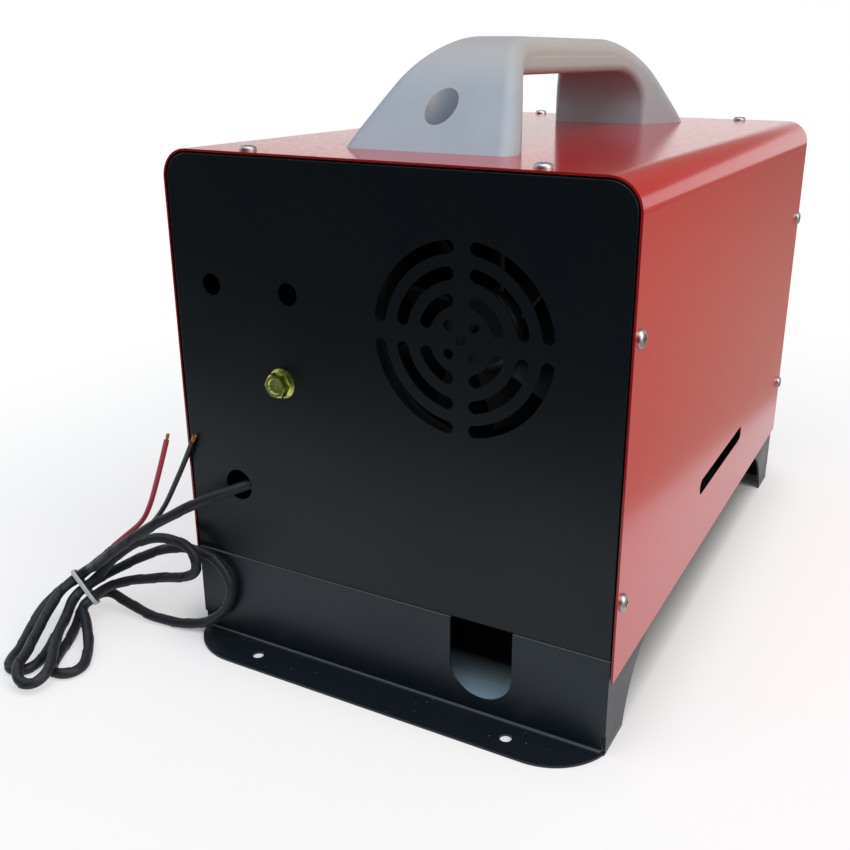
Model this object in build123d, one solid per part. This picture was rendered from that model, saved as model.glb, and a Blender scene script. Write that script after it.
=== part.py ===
"""Portable diesel air heater in a folded steel case, in millimetres, +Z up.

The origin is on the floor under the middle of the case. The end that draws
room air in faces -Y, the hot-air outlet faces +Y, and +X is to the right of
somebody who looks at the intake end.
"""
from build123d import *

import os
from math import asin, atan2, cos, degrees, pi, radians, sin, sqrt, tan

os.makedirs("parts", exist_ok=True)

# ---- clearances ---------------------------------------------------------
SEAT_GAP = 0.2          # between two sheets that are screwed together
SLIP_GAP = 0.3          # between parts that move or are pushed together
BORE_GAP = 0.1          # radial, around a tube or rod in its seat
SHAFT_GAP = 0.05        # radial, motor shaft in its bearings
SCREW_GAP = 0.2         # radial, around a screw

# ---- case ---------------------------------------------------------------
CASE_WIDTH = 283.0      # over the red cover
CASE_LENGTH = 430.0     # rear face to front face
CASE_TOP = 310.4        # top of the cover above the floor
STAND_HEIGHT = 60.0     # top of the deck above the floor
COVER_SHEET = 1.2
PANEL_SHEET = 1.2
STAND_SHEET = 1.5
COVER_GAP = 0.8         # shadow gap between the cover and what it covers
COVER_BEND = 17.0       # outer radius of the cover's two top bends
COVER_HEM = 46.7        # lower edge of the cover's sides
LIP_DEPTH = 18.0        # folded lips of the end panels
LIP_CORNER = 5.0        # lips stop this far short of a bend
BEND_SHARE = 0.9        # outer radius of a sharp bend, in sheet thicknesses
PANEL_FOOT_SCREW_SIDE = 29.5    # from the side of an end panel to its foot screws

REAR_Y = -CASE_LENGTH / 2
FRONT_Y = CASE_LENGTH / 2
BODY_HALF = CASE_WIDTH / 2 - COVER_SHEET - COVER_GAP
PANEL_TOP = CASE_TOP - COVER_SHEET - COVER_GAP
PANEL_BASE = STAND_HEIGHT + SEAT_GAP
PANEL_BEND = COVER_BEND - COVER_SHEET - COVER_GAP
COVER_INSIDE = CASE_TOP - COVER_SHEET

# ---- cover slots and screws ---------------------------------------------
SIDE_SLOT_LENGTH = 118.0
SIDE_SLOT_HEIGHT = 10.5
SIDE_SLOT_Y = 6.0
SIDE_SLOT_Z = 94.8
SCREW_HEAD = 4.8        # radius of the pan heads on the cover
SCREW_HEAD_HEIGHT = 2.4
SCREW_SHANK = 2.4
SCREW_LENGTH = 12.0
SMALL_HEAD = 3.6        # screws inside the case
SMALL_HEAD_HEIGHT = 2.0
SMALL_SHANK = 1.9
SMALL_LENGTH = 5.0
TOP_SCREW_X = CASE_WIDTH / 2 - 53.5
TOP_SCREW_INSET = 10.5
SIDE_SCREW_INSET = 7.5
SIDE_SCREW_HEIGHTS = (92.5, 234.5)
RECESS_WIDTH = 1.4

# ---- stand --------------------------------------------------------------
FLANGE_REACH = 26.0
FLANGE_HALF = CASE_WIDTH / 2
FLANGE_CORNER = 40.0
FLANGE_HOLE_RADIUS = 3.5
FLANGE_HOLE_X = FLANGE_HALF - 55.2
FLANGE_HOLE_INSET = 13.0
FOOT_LENGTH = 28.0      # side wall left standing at each end
ARCH_TOP = 46.0
ARCH_RADIUS = 60.0
FOOT_BEND = 1.5         # inner radius between an end wall and its flange
RELIEF_WIDTH = 2.0      # notches cut where the walls and the flanges were bent
RELIEF_TOP = 12.0
PIPE_NOTCH_WIDTH = 39.2
PIPE_NOTCH_BOTTOM = 11.0
PIPE_NOTCH_DEPTH = 14.0

# ---- heater unit --------------------------------------------------------
SHELL_HALF_WIDTH = 68.0
SHELL_HALF_HEIGHT = 70.0
SHELL_WALL = 2.5
SHELL_CORNER = 30.0
SHELL_REAR = REAR_Y + 15.0
SHELL_FRONT = FRONT_Y - 105.0
BRACKET_OVERHANG = 8.0
SIDE_ROOM = 13.5        # between the case and what stands beside its walls
HEATER_X = BODY_HALF - SIDE_ROOM - BRACKET_OVERHANG - SHELL_HALF_WIDTH  # axis of the blower
HEATER_Z = 222.5
PIPE_NOTCH_X = HEATER_X + 13.4  # U-shaped notch in the rear wall
LINE_X = HEATER_X - SHELL_HALF_WIDTH - 6.0  # pipes and wires that pass beside the heater unit
SHELL_SPLIT = 0.1       # half of the joint between the two shells
INLET_RADIUS = 58.0
GASKET_THICKNESS = 3.0
BRACKET_SHEET = 2.0
BRACKET_FOOT = 14.0
BRACKET_SCREW_INSET = 12.0
GASKET_HALF = 38.0
GASKET_REACH = 56.0     # behind the ports
PLATFORM_TOP = HEATER_Z - SHELL_HALF_HEIGHT - GASKET_THICKNESS

# ---- grille and holes of the rear panel ---------------------------------
GRILLE_RINGS = (48.75, 35.45, 22.05)
GRILLE_SLOT = 7.0
GRILLE_SPOKE = 9.0
GRILLE_DOT_RADIUS = 2.9
GRILLE_DOT_X = 7.4
GRILLE_DOT_Z = 7.6
PLUG_HOLE_RADIUS = 6.5
PLUG_HOLES_X = (27.0 - BODY_HALF, 80.9 - BODY_HALF)
PLUG_HOLES_Z = 234.6
CABLE_HOLE_X = 36.7 - BODY_HALF
CABLE_HOLE_Z = 110.5
CABLE_HOLE_RADIUS = 9.75

# ---- handle -------------------------------------------------------------
HANDLE_LENGTH = 333.0
HANDLE_HEIGHT = 60.6
HANDLE_FOOT_HALF = 55.4
HANDLE_GRIP_HALF = 20.5
HANDLE_LEG = 53.5       # length of each foot
HANDLE_OPENING = HANDLE_LENGTH - 2 * HANDLE_LEG
HANDLE_OPENING_HEIGHT = 38.5
HANDLE_OPENING_CORNER = 25.0
HANDLE_RAMP = 34.4      # run, and rise, of the flat ramp at each end
# Distance from an end of the handle, and share of the foot's extra width left there.
HANDLE_FLARE = [(112.0, 0.0), (84.0, 0.10), (62.0, 0.32), (42.0, 0.58), (22.0, 0.82), (0.0, 1.0)]
HANDLE_RIM = 8.5        # radius along the outer edges
HANDLE_INNER_RIM = 5.0
HANDLE_BOLT_INSET = 23.0
HANDLE_BORE_RADIUS = 9.5
HANDLE_FLOOR = 5.0      # plastic left under the bolt head
HANDLE_POCKET = 4.0     # depth of the hollows under each leg
HANDLE_POCKET_X = 22.0
HANDLE_POCKET_WIDTH = 14.0
HANDLE_POCKET_LENGTH = 26.0
BOLT_SHANK = 3.0
BOLT_HEAD = 5.0
BOLT_HEAD_HEIGHT = 5.0
BOLT_SOCKET = 2.9
BOLT_REACH = 8.0        # below the cover sheet
NUT_RADIUS = 5.7
NUT_HEIGHT = 5.2
WASHER_RADIUS = 8.0
WASHER_SHEET = 1.6

# ---- fuel tank ----------------------------------------------------------
TANK_LEFT = SIDE_ROOM - BODY_HALF
TANK_RIGHT = HEATER_X - SHELL_HALF_WIDTH - BRACKET_OVERHANG - 4.0
TANK_REAR = REAR_Y + 103.0
TANK_FRONT = FRONT_Y - 23.0
TANK_TOP = 236.0
TANK_WALL = 3.0
TANK_CORNER = 14.0
NECK_X = TANK_LEFT + 28.0
NECK_Y = TANK_FRONT - 107.0
NECK_RADIUS = 20.0
NECK_BORE = 17.0
NECK_RIM = CASE_TOP + 13.6
NECK_FLANGE = 27.0
NECK_FLANGE_HEIGHT = 4.0
CAP_RADIUS = 26.0
CAP_TOP = CASE_TOP + 21.1
CAP_ROOF = 5.2
CAP_GRIPS = 24
GROMMET_RADIUS = 24.5
GROMMET_HEIGHT = 2.4
SEAL_THICKNESS = 2.0
SEAL_BORE = 14.5
STRAP_WIDTH = 20.0
STRAP_SHEET = 1.2
STRAP_Y = TANK_FRONT - 52.0
STRAP_FOOT = 9.5

# ---- fuel pump ----------------------------------------------------------
PUMP_X = LINE_X - 41.2
PUMP_Y = REAR_Y + 35.0
PUMP_Z = 182.0
PUMP_RADIUS = 13.0
PUMP_HALF = 34.0
PUMP_BARB = 12.0
BARB_RADIUS = 2.5
MOUNT_WALL = 5.0
MOUNT_HALF = 10.0
PUMP_BOLT_SHANK = 3.95
PUMP_BOLT_FLANGE = 8.9
PUMP_BOLT_RIM = 0.8
PUMP_BOLT_CONE = 2.4    # height of the cone-shaped flange
PUMP_BOLT_HEX = 13.0    # across the flats
PUMP_BOLT_HEAD = 7.4
PUMP_BOLT_DISH = 4.7
PUMP_BOLT_DISH_DEPTH = 0.6
PUMP_BOLT_LENGTH = 16.0
HOSE_RADIUS = 3.4
HOSE_TOP = 26.0         # above the tank
PICKUP_X = TANK_RIGHT - 16.0
PICKUP_Y = TANK_FRONT - 20.0
INLET_PIPE_Z = HEATER_Z - 20.0

# ---- outlet and controller ----------------------------------------------
COLLAR_RADIUS = 38.0
COLLAR_BORE = 35.4
COLLAR_REACH = 21.0     # in front of the front face
COLLAR_FLANGE = 50.0
COLLAR_FLANGE_SHEET = 3.0
LOUVRE_REACH = 24.7
LOUVRE_BLADES = 5
NOZZLE_PLATE = 3.0
NOZZLE_FRONT = SHELL_FRONT + 40.0
DUCT_OVERLAP = 10.0
CONTROLLER_X = 67.5 - BODY_HALF
CONTROLLER_Z = 232.0
CONTROLLER_WIDTH = 92.0
CONTROLLER_HEIGHT = 62.0
CONTROLLER_DEPTH = 12.0
CONTROLLER_WALL = 2.0
LENS_WIDTH = 56.0
LENS_HEIGHT = 30.0
LENS_Z = CONTROLLER_Z + 9.0
BUTTON_RADIUS = 4.4
BUTTON_PITCH = 18.0
BUTTON_Z = CONTROLLER_Z - 20.0
BUTTON_TRAVEL = 1.1
BUTTON_NAMES = ("button_power", "button_down", "button_up", "button_menu")
BEZEL_REAR = FRONT_Y + SEAT_GAP
BEZEL_FRONT = BEZEL_REAR + CONTROLLER_DEPTH
BOARD_FRONT = BEZEL_REAR + 3.4
BOARD_SHEET = 1.6
SWITCH_HEIGHT = 1.5
LENS_SHEET = 1.4

# ---- power cable --------------------------------------------------------
# The routes are drawn for a cable hole at x -102.8 in a face at y -215, and move with both.
ROUTE_SHIFT = (CABLE_HOLE_X + 102.8, REAR_Y + 215.0, 0.0)
CABLE_RADIUS = 3.4
WIRE_RADIUS = 1.7
COPPER_RADIUS = 1.3
TIE_WIDTH = 3.6
TIE_SHEET = 1.2
TIE_HALF_TALL = 8.5     # of the middles of the runs that it holds
TIE_HALF_DEEP = 4.4
TIE_ROOM = 0.9
TIE_HEAD = (4.0, 6.0, 5.6)
TIE_CENTRE = (-218.0, -243.0, 22.0)
TIE_AXIS = (0.479, 0.751, 0.455)
TIE_TALL = (-0.656, -0.039, 0.755)
LEAD_ROUTE = [
    (-56, -205, 112), (-92, -205, 112), (-112, -226, 106), (-137, -238, 92.5), (-160, -246, 77),
    (-182, -249, 60), (-203, -246, 43), (-216.5, -239.5, 34.5), (-222.5, -248.1667, 29.1667),
]
HANK_ROUTE = [
    (-222.5, -248.1667, 29.1667), (-225.5, -252.5, 26.5), (-222.5, -267, 21), (-214, -287.5, 14),
    (-203, -304.5, 12.5), (-197, -318, 11.5), (-188, -324.5, 7), (-179, -320.5, 6.5), (-177.5, -311, 10), (-188, -298, 13),
    (-202, -282.5, 12.5), (-211.5, -264.5, 15.5), (-219.5, -252.5, 20), (-211, -239, 28),
    (-198, -235.5, 45), (-179, -230, 60), (-159, -228, 67), (-140, -228, 67), (-131.5, -228, 60),
    (-131.5, -228, 49.5), (-140, -228, 42.5), (-156, -228, 38.5), (-176, -230, 33), (-194, -234, 28),
    (-205.5, -239, 22), (-214, -252.5, 13.5), (-198, -262, 10.5), (-183, -275.5, 4.5), (-172, -289, 3.5),
    (-172, -299, 3.5), (-179.5, -304.5, 3.5), (-188.5, -301.5, 3.5), (-197, -284.5, 3.5), (-207, -265, 3.5),
    (-219.5, -246.5, 9.5), (-210.5, -233, 17.5), (-196, -230, 10.5), (-177, -229, 4.5),
    (-156, -226.5, 3.5), (-137, -222, 5.5), (-120, -220, 17), (-111, -219.5, 34), (-115, -219.5, 50),
    (-129, -219.5, 59), (-151, -219.5, 58), (-173, -220, 50), (-194, -224, 38), (-216.5, -233.5, 24),
    (-225, -247, 16), (-218.5, -261, 9), (-211.5, -277.5, 3.5), (-203.5, -291.5, 3.5), (-198, -302.5, 3.5),
    (-200.5, -311.5, 3.5), (-209.5, -314.5, 3.5), (-217, -307, 3.5), (-223, -293.5, 3.5),
    (-232, -278, 7), (-234, -261, 17), (-230.5, -247, 22), (-222, -233.5, 30.5), (-206, -225, 46),
]
WIRE_OFFSET = (-0.985, -0.535, 1.31)    # from the middle of the tape's end to the red wire
RED_ROUTE = [
    (-184, -219, 68), (-175.5, -219, 82), (-169, -219, 97),
    (-162.5, -219, 113), (-155.5, -219, 131),
]
BLACK_ROUTE = [
    (-179, -218.5, 65), (-164, -218.5, 82),
    (-152.5, -218, 102), (-142, -217.5, 121), (-136, -217.2, 133),
]
COPPER_LENGTH = 6.5
CLAMP_LENGTH = 12.0
CLAMP_HALF = 8.0
LOOM_RADIUS = 2.6
LOOM_RADII = [10.0, 30.0, 30.0, 6.0]

# ---- heat exchanger, burner and blower ----------------------------------
BLOWER_ROOM = 161.5     # from the rear of the shells to the exchanger
EXCHANGER_REAR = SHELL_REAR + BLOWER_ROOM
EXCHANGER_FRONT = SHELL_FRONT - 18.0
EXCHANGER_BORE = 34.0
EXCHANGER_WALL = 8.0
EXCHANGER_END = 5.0
FIN_COUNT = 24
FIN_TIP = 60.0
FIN_THICKNESS = 2.2
BURNER_GASKET = 1.5
BURNER_FLANGE = 4.0
BURNER_FLANGE_RADIUS = 54.0
BURNER_TUBE = 31.0
BURNER_TUBE_LENGTH = 100.0
BURNER_TUBE_WALL = 2.0
BOLT_CIRCLE = 48.5
BURNER_SHANK = 2.4
BURNER_HEAD = 4.6
HOUSING_LENGTH = 42.0
HOUSING_RADIUS = 44.0
HOUSING_WALL = 4.0
MOTOR_RADIUS = 29.0
MOTOR_LENGTH = 60.0
MOTOR_WALL = 5.0
SHAFT_RADIUS = 3.0
BEARING_RADIUS = 8.0
FAN_HUB = 24.0
FAN_TIP = 55.5
FAN_BLADES = 9
FAN_TILT = 38.0
GLOW_RADIUS = 4.0
GLOW_HEX = 6.6
CONTROL_HALF = 30.0
FLANGE_REAR = EXCHANGER_REAR - BURNER_GASKET - BURNER_FLANGE
HOUSING_REAR = FLANGE_REAR - HOUSING_LENGTH
MOTOR_FRONT = HOUSING_REAR - HOUSING_WALL
MOTOR_REAR = MOTOR_FRONT - MOTOR_LENGTH
INLET_PIPE_Y = FLANGE_REAR + BURNER_FLANGE / 2
INLET_BOSS_X = HEATER_X - BURNER_FLANGE_RADIUS + 1.2
PLUG_Y = FLANGE_REAR - 7.0
FAN_REAR = SHELL_REAR + 6.0
FAN_FRONT = MOTOR_REAR - 8.0

# ---- exchanger ports and their pipes ------------------------------------
PORT_SPREAD = 32.0      # between the exhaust and the combustion-air port
PORT_Y = EXCHANGER_REAR + 34.5
BRACKET_REAR = SHELL_REAR + 80.0
BRACKET_FRONT = PORT_Y + 44.0
STUB_RADIUS = 12.0
STUB_BORE = 10.5
STUB_LENGTH = 28.0
PIPE_WALL = 1.4
PIPE_RADIUS = STUB_RADIUS + BORE_GAP + PIPE_WALL
PIPE_END = 30.0         # free ends of both pipes above the floor
PIPE_SPIGOT = 22.0      # length that a hose is clamped on
PIPE_OVERLAP = 18.0
PIPE_SHOULDER = 2.0

# ---- shapes used everywhere ---------------------------------------------
def block(x0, x1, y0, y1, z0, z1):
    return Pos((x0 + x1) / 2, (y0 + y1) / 2, (z0 + z1) / 2) * Box(x1 - x0, y1 - y0, z1 - z0)


def rod_x(radius, y, z, x0, x1):
    return Pos((x0 + x1) / 2, y, z) * Rot(0, 90, 0) * Cylinder(radius, x1 - x0)


def rod_y(radius, x, z, y0, y1):
    return Pos(x, (y0 + y1) / 2, z) * Rot(90, 0, 0) * Cylinder(radius, y1 - y0)


def rod_z(radius, x, y, z0, z1):
    return Pos(x, y, (z0 + z1) / 2) * Cylinder(radius, z1 - z0)


def pipe_y(outer, inner, x, z, y0, y1):
    return rod_y(outer, x, z, y0, y1) - rod_y(inner, x, z, y0 - 1, y1 + 1)


def pipe_z(outer, inner, x, y, z0, z1):
    return rod_z(outer, x, y, z0, z1) - rod_z(inner, x, y, z0 - 1, z1 + 1)


def prism_y(sketch, y0, y1):
    """A sketch drawn with x to the right and z up, pushed from y0 to y1."""
    plane = Plane(origin=(0, y0, 0), x_dir=(1, 0, 0), z_dir=(0, -1, 0))
    return extrude(plane * sketch, amount=-(y1 - y0))


def prism_x(sketch, x0, x1):
    """A sketch drawn with y to the right and z up, pushed from x0 to x1."""
    plane = Plane(origin=(x0, 0, 0), x_dir=(0, 1, 0), z_dir=(1, 0, 0))
    return extrude(plane * sketch, amount=x1 - x0)


def arch_outline(half_width, top, bottom, bend):
    """Upright rectangle whose two top corners are rounded."""
    outline = Pos(0, (top + bottom) / 2) * Rectangle(2 * half_width, top - bottom)
    return fillet(outline.vertices().group_by(Axis.Y)[-1], bend)


def inward(end, near, far):
    """The y range that lies near..far behind the outer face of an end (-1 rear, 1 front)."""
    if end < 0:
        return REAR_Y + near, REAR_Y + far
    return FRONT_Y - far, FRONT_Y - near


def write(name, shape):
    shape.label = name
    export_step(shape, os.path.join("parts", name + ".step"))


def group(solids):
    return Compound(children=list(solids))


def corner_radii(points):
    """One arc radius per inner point: 0.45 of the shorter run over tan(half the turn)."""
    radii = []
    for before, here, after in zip(points, points[1:], points[2:]):
        run_in = Vector(here) - Vector(before)
        run_out = Vector(after) - Vector(here)
        turn = radians(run_in.get_angle(run_out))
        radii.append(0.45 * min(run_in.length, run_out.length) / tan(turn / 2))
    return radii


def route(points, radii=None):
    """Line through the points, bent to the given radii or to less where a run is short."""
    widest = corner_radii(points)
    return FilletPolyline(*points, radius=[min(pair) for pair in zip(radii or widest, widest)])


def tube(path, radius, bore=0.0):
    section = Circle(radius)
    if bore:
        section -= Circle(bore)
    start = Plane(origin=path @ 0, z_dir=path % 0)
    return sweep(start * section, path=path)


def samples(path, step):
    """Points about one step apart along a path, with their distance from its start."""
    points = []
    done = 0.0
    for edge in path.edges():
        count = max(2, int(edge.length / step) + 1)
        for k in range(count):
            points.append((done + edge.length * k / count, edge.position_at(k / count)))
        done += edge.length
    return points


def least_gap(path, radius, apart):
    """Smallest gap between parts of a cable that are more than apart from each other along it."""
    points = samples(path, 2.0)
    least = 1e9
    for index, (place, point) in enumerate(points):
        for other_place, other in points[index + 1:]:
            if other_place - place > apart:
                least = min(least, (point - other).length)
    return least - 2 * radius


def report_tube(name, path, solid, radius, radii):
    expected = pi * radius * radius * path.length
    print(name, "length", round(path.length, 1), "least radius", round(min(radii), 1),
          "volume ratio", round(solid.volume / expected, 4))
    print("  radii", [round(radius_value, 1) for radius_value in radii])


# ---- fasteners ----------------------------------------------------------
def pan_screw(head, head_height, shank, length):
    """Cross-recessed pan-head screw whose head sits on z = 0 and whose shank goes down."""
    body = rod_z(head, 0, 0, 0, head_height)
    body = fillet(body.edges().group_by(Axis.Z)[-1], 0.8 * head_height)
    for turn in (0, 90):
        arm = Box(1.15 * head, RECESS_WIDTH, head_height)
        body -= Pos(0, 0, 1.05 * head_height) * Rot(0, 0, turn) * arm
    return body + rod_z(shank, 0, 0, -length, 0)


def cover_screw():
    return pan_screw(SCREW_HEAD, SCREW_HEAD_HEIGHT, SCREW_SHANK, SCREW_LENGTH)


def small_screw():
    return pan_screw(SMALL_HEAD, SMALL_HEAD_HEIGHT, SMALL_SHANK, SMALL_LENGTH)


def top_screw_places():
    rows = (REAR_Y + TOP_SCREW_INSET, FRONT_Y - TOP_SCREW_INSET)
    return [(x, y) for x in (-TOP_SCREW_X, TOP_SCREW_X) for y in rows]


def side_screw_places():
    rows = (REAR_Y + SIDE_SCREW_INSET, FRONT_Y - SIDE_SCREW_INSET)
    return [(y, z) for y in rows for z in SIDE_SCREW_HEIGHTS]


def make_cover_screws():
    screws = [Pos(x, y, CASE_TOP) * cover_screw() for x, y in top_screw_places()]
    for y, z in side_screw_places():
        screws.append(Pos(CASE_WIDTH / 2, y, z) * Rot(0, 90, 0) * cover_screw())
        screws.append(Pos(-CASE_WIDTH / 2, y, z) * Rot(0, -90, 0) * cover_screw())
    return group(screws)


def drill_cover_screws(solid):
    radius = SCREW_SHANK + SCREW_GAP
    for x, y in top_screw_places():
        solid -= rod_z(radius, x, y, PANEL_TOP - 5, CASE_TOP + 1)
    for y, z in side_screw_places():
        for side in (-1, 1):
            ends = sorted((side * (BODY_HALF - 5), side * (CASE_WIDTH / 2 + 1)))
            solid -= rod_x(radius, y, z, *ends)
    return solid


# ---- cover, stand and end panels ----------------------------------------
def make_cover_shell():
    outer = arch_outline(CASE_WIDTH / 2, CASE_TOP, COVER_HEM, COVER_BEND)
    inner_half, inner_bend = CASE_WIDTH / 2 - COVER_SHEET, COVER_BEND - COVER_SHEET
    inner = arch_outline(inner_half, COVER_INSIDE, COVER_HEM - 1, inner_bend)
    shell = prism_y(outer - inner, REAR_Y, FRONT_Y)
    slot = Pos(SIDE_SLOT_Y, SIDE_SLOT_Z) * SlotOverall(SIDE_SLOT_LENGTH, SIDE_SLOT_HEIGHT)
    shell -= prism_x(slot, -CASE_WIDTH, CASE_WIDTH)
    for _, y in handle_bolt_places():
        shell -= rod_z(BOLT_SHANK + SCREW_GAP, 0, y, COVER_INSIDE - 1, CASE_TOP + 1)
    shell -= rod_z(NECK_RADIUS + 2, NECK_X, NECK_Y, COVER_INSIDE - 1, CASE_TOP + 1)
    return drill_cover_screws(shell)


def flange_outline(end):
    """Floor flange seen from above, with its two broad outer corners."""
    depth = FLANGE_REACH + FLANGE_CORNER
    outline = Pos(0, end * (CASE_LENGTH / 2 + FLANGE_REACH - depth / 2)) * Rectangle(2 * FLANGE_HALF, depth)
    rows = outline.vertices().group_by(Axis.Y)
    outline = fillet(rows[-1] if end > 0 else rows[0], FLANGE_CORNER)
    inner_edge = end * (CASE_LENGTH / 2 - STAND_SHEET)
    keep = Pos(0, inner_edge + end * depth / 2) * Rectangle(3 * FLANGE_HALF, depth)
    return outline & keep


def flange_hole_places():
    rows = (REAR_Y - FLANGE_HOLE_INSET, FRONT_Y + FLANGE_HOLE_INSET)
    return [(x, y) for x in (-FLANGE_HOLE_X, FLANGE_HOLE_X) for y in rows]


def stand_walls():
    deck = block(-BODY_HALF, BODY_HALF, REAR_Y, FRONT_Y, STAND_HEIGHT - STAND_SHEET, STAND_HEIGHT)
    walls = deck
    for end in (-1, 1):
        y0, y1 = inward(end, 0, STAND_SHEET)
        walls += block(-BODY_HALF, BODY_HALF, y0, y1, 0, STAND_HEIGHT)
        walls += extrude(flange_outline(end), amount=STAND_SHEET)
    low = [edge for edge in walls.edges().filter_by(Axis.X) if abs(edge.center().Z - STAND_SHEET) < 0.01]
    creases = [edge for edge in low if abs(abs(edge.center().Y) - CASE_LENGTH / 2) < 0.01]
    walls = fillet(creases, FOOT_BEND)
    side = Pos(0, STAND_HEIGHT / 2) * Rectangle(CASE_LENGTH, STAND_HEIGHT)
    arch_height = ARCH_TOP + ARCH_RADIUS
    arch = Pos(0, ARCH_TOP - arch_height / 2) * Rectangle(CASE_LENGTH - 2 * FOOT_LENGTH, arch_height)
    side -= fillet(arch.vertices().group_by(Axis.Y)[-1], ARCH_RADIUS)
    for x0 in (-BODY_HALF, BODY_HALF - STAND_SHEET):
        walls += prism_x(side, x0, x0 + STAND_SHEET)
    top = walls.edges().filter_by(Axis.X).group_by(Axis.Z)[-1]
    outer = [edge for edge in top if abs(edge.center().Y) > CASE_LENGTH / 2 - 0.01]
    walls = fillet(outer, BEND_SHARE * STAND_SHEET)
    for end in (-1, 1):
        y0, y1 = inward(end, -FOOT_BEND - 1, STAND_SHEET)
        for x0 in (-BODY_HALF - 1, BODY_HALF - RELIEF_WIDTH):
            walls -= block(x0, x0 + RELIEF_WIDTH + 1, y0, y1, STAND_SHEET, RELIEF_TOP)
    return walls


def pipe_notch():
    centre_z = PIPE_NOTCH_BOTTOM + PIPE_NOTCH_WIDTH / 2
    sketch = Pos(PIPE_NOTCH_X, centre_z) * Circle(PIPE_NOTCH_WIDTH / 2)
    height = STAND_HEIGHT + 1 - centre_z
    sketch += Pos(PIPE_NOTCH_X, centre_z + height / 2) * Rectangle(PIPE_NOTCH_WIDTH, height)
    return prism_y(sketch, REAR_Y - 1, REAR_Y + PIPE_NOTCH_DEPTH)


def make_base_stand():
    stand = stand_walls() - pipe_notch()
    for x, y in flange_hole_places():
        stand -= rod_z(FLANGE_HOLE_RADIUS, x, y, -1, STAND_SHEET + 1)
    for x in port_places():
        stand -= rod_z(PIPE_RADIUS + 2, x, PORT_Y, STAND_HEIGHT - STAND_SHEET - 1, STAND_HEIGHT + 1)
    for x, y, _ in inner_screw_places():
        stand -= rod_z(SMALL_SHANK + SCREW_GAP, x, y, STAND_HEIGHT - STAND_SHEET - 1, STAND_HEIGHT + 1)
    return stand


def panel_blank(end):
    """End panel with lips along its top, sides and foot for the case screws."""
    y0, y1 = inward(end, 0, PANEL_SHEET)
    panel = prism_y(arch_outline(BODY_HALF, PANEL_TOP, PANEL_BASE, PANEL_BEND), y0, y1)
    faces = panel.faces().sort_by(Axis.Y)
    face = faces[0] if end < 0 else faces[-1]
    panel = fillet(face.edges(), BEND_SHARE * PANEL_SHEET)
    y0, y1 = inward(end, PANEL_SHEET, LIP_DEPTH)
    reach = BODY_HALF - PANEL_BEND - LIP_CORNER
    panel += block(-reach, reach, y0, y1, PANEL_TOP - PANEL_SHEET, PANEL_TOP)
    foot_reach = BODY_HALF - LIP_CORNER
    panel += block(-foot_reach, foot_reach, y0, y1, PANEL_BASE, PANEL_BASE + PANEL_SHEET)
    lip_top = PANEL_TOP - PANEL_BEND - LIP_CORNER
    lip_base = PANEL_BASE + LIP_CORNER
    for x0 in (-BODY_HALF, BODY_HALF - PANEL_SHEET):
        panel += block(x0, x0 + PANEL_SHEET, y0, y1, lip_base, lip_top)
    for x, y, _ in panel_foot_screw_places(end):
        panel -= rod_z(SMALL_SHANK + SCREW_GAP, x, y, PANEL_BASE - 1, PANEL_BASE + PANEL_SHEET + 1)
    return drill_cover_screws(panel)


def grille():
    """Rings of curved slots between four spokes, and five round holes at the middle."""
    holes = Sketch()
    for radius in GRILLE_RINGS:
        spoke_angle = degrees(asin((GRILLE_SPOKE + GRILLE_SLOT) / 2 / radius))
        for quarter in range(4):
            start = 90 * quarter + spoke_angle
            arc = CenterArc((HEATER_X, HEATER_Z), radius, start, 90 - 2 * spoke_angle)
            holes += SlotArc(arc, GRILLE_SLOT)
    spots = [(0, 0)] + [(sx * GRILLE_DOT_X, sz * GRILLE_DOT_Z) for sx in (-1, 1) for sz in (-1, 1)]
    for x, z in spots:
        holes += Pos(HEATER_X + x, HEATER_Z + z) * Circle(GRILLE_DOT_RADIUS)
    return prism_y(holes, REAR_Y - 1, REAR_Y + PANEL_SHEET + 1)


def make_rear_panel():
    panel = panel_blank(-1) - grille()
    through = (REAR_Y - 1, REAR_Y + PANEL_SHEET + 1)
    for x in PLUG_HOLES_X:
        panel -= rod_y(PLUG_HOLE_RADIUS, x, PLUG_HOLES_Z, *through)
    panel -= rod_y(CABLE_HOLE_RADIUS, CABLE_HOLE_X, CABLE_HOLE_Z, *through)
    panel -= rod_y(PUMP_BOLT_SHANK + SCREW_GAP, PUMP_X, PUMP_Z, *through)
    return panel


def make_front_panel():
    panel = panel_blank(1)
    through = (FRONT_Y - PANEL_SHEET - 1, FRONT_Y + 1)
    panel -= rod_y(COLLAR_RADIUS + SLIP_GAP, HEATER_X, HEATER_Z, *through)
    half_width = CONTROLLER_WIDTH / 2 - 6
    half_height = CONTROLLER_HEIGHT / 2 - 6
    panel -= block(CONTROLLER_X - half_width, CONTROLLER_X + half_width, *through,
                   CONTROLLER_Z - half_height, CONTROLLER_Z + half_height)
    return panel


# ---- handle -------------------------------------------------------------
def handle_bolt_places():
    y = HANDLE_LENGTH / 2 - HANDLE_BOLT_INSET
    return [(0, -y), (0, y)]


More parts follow.
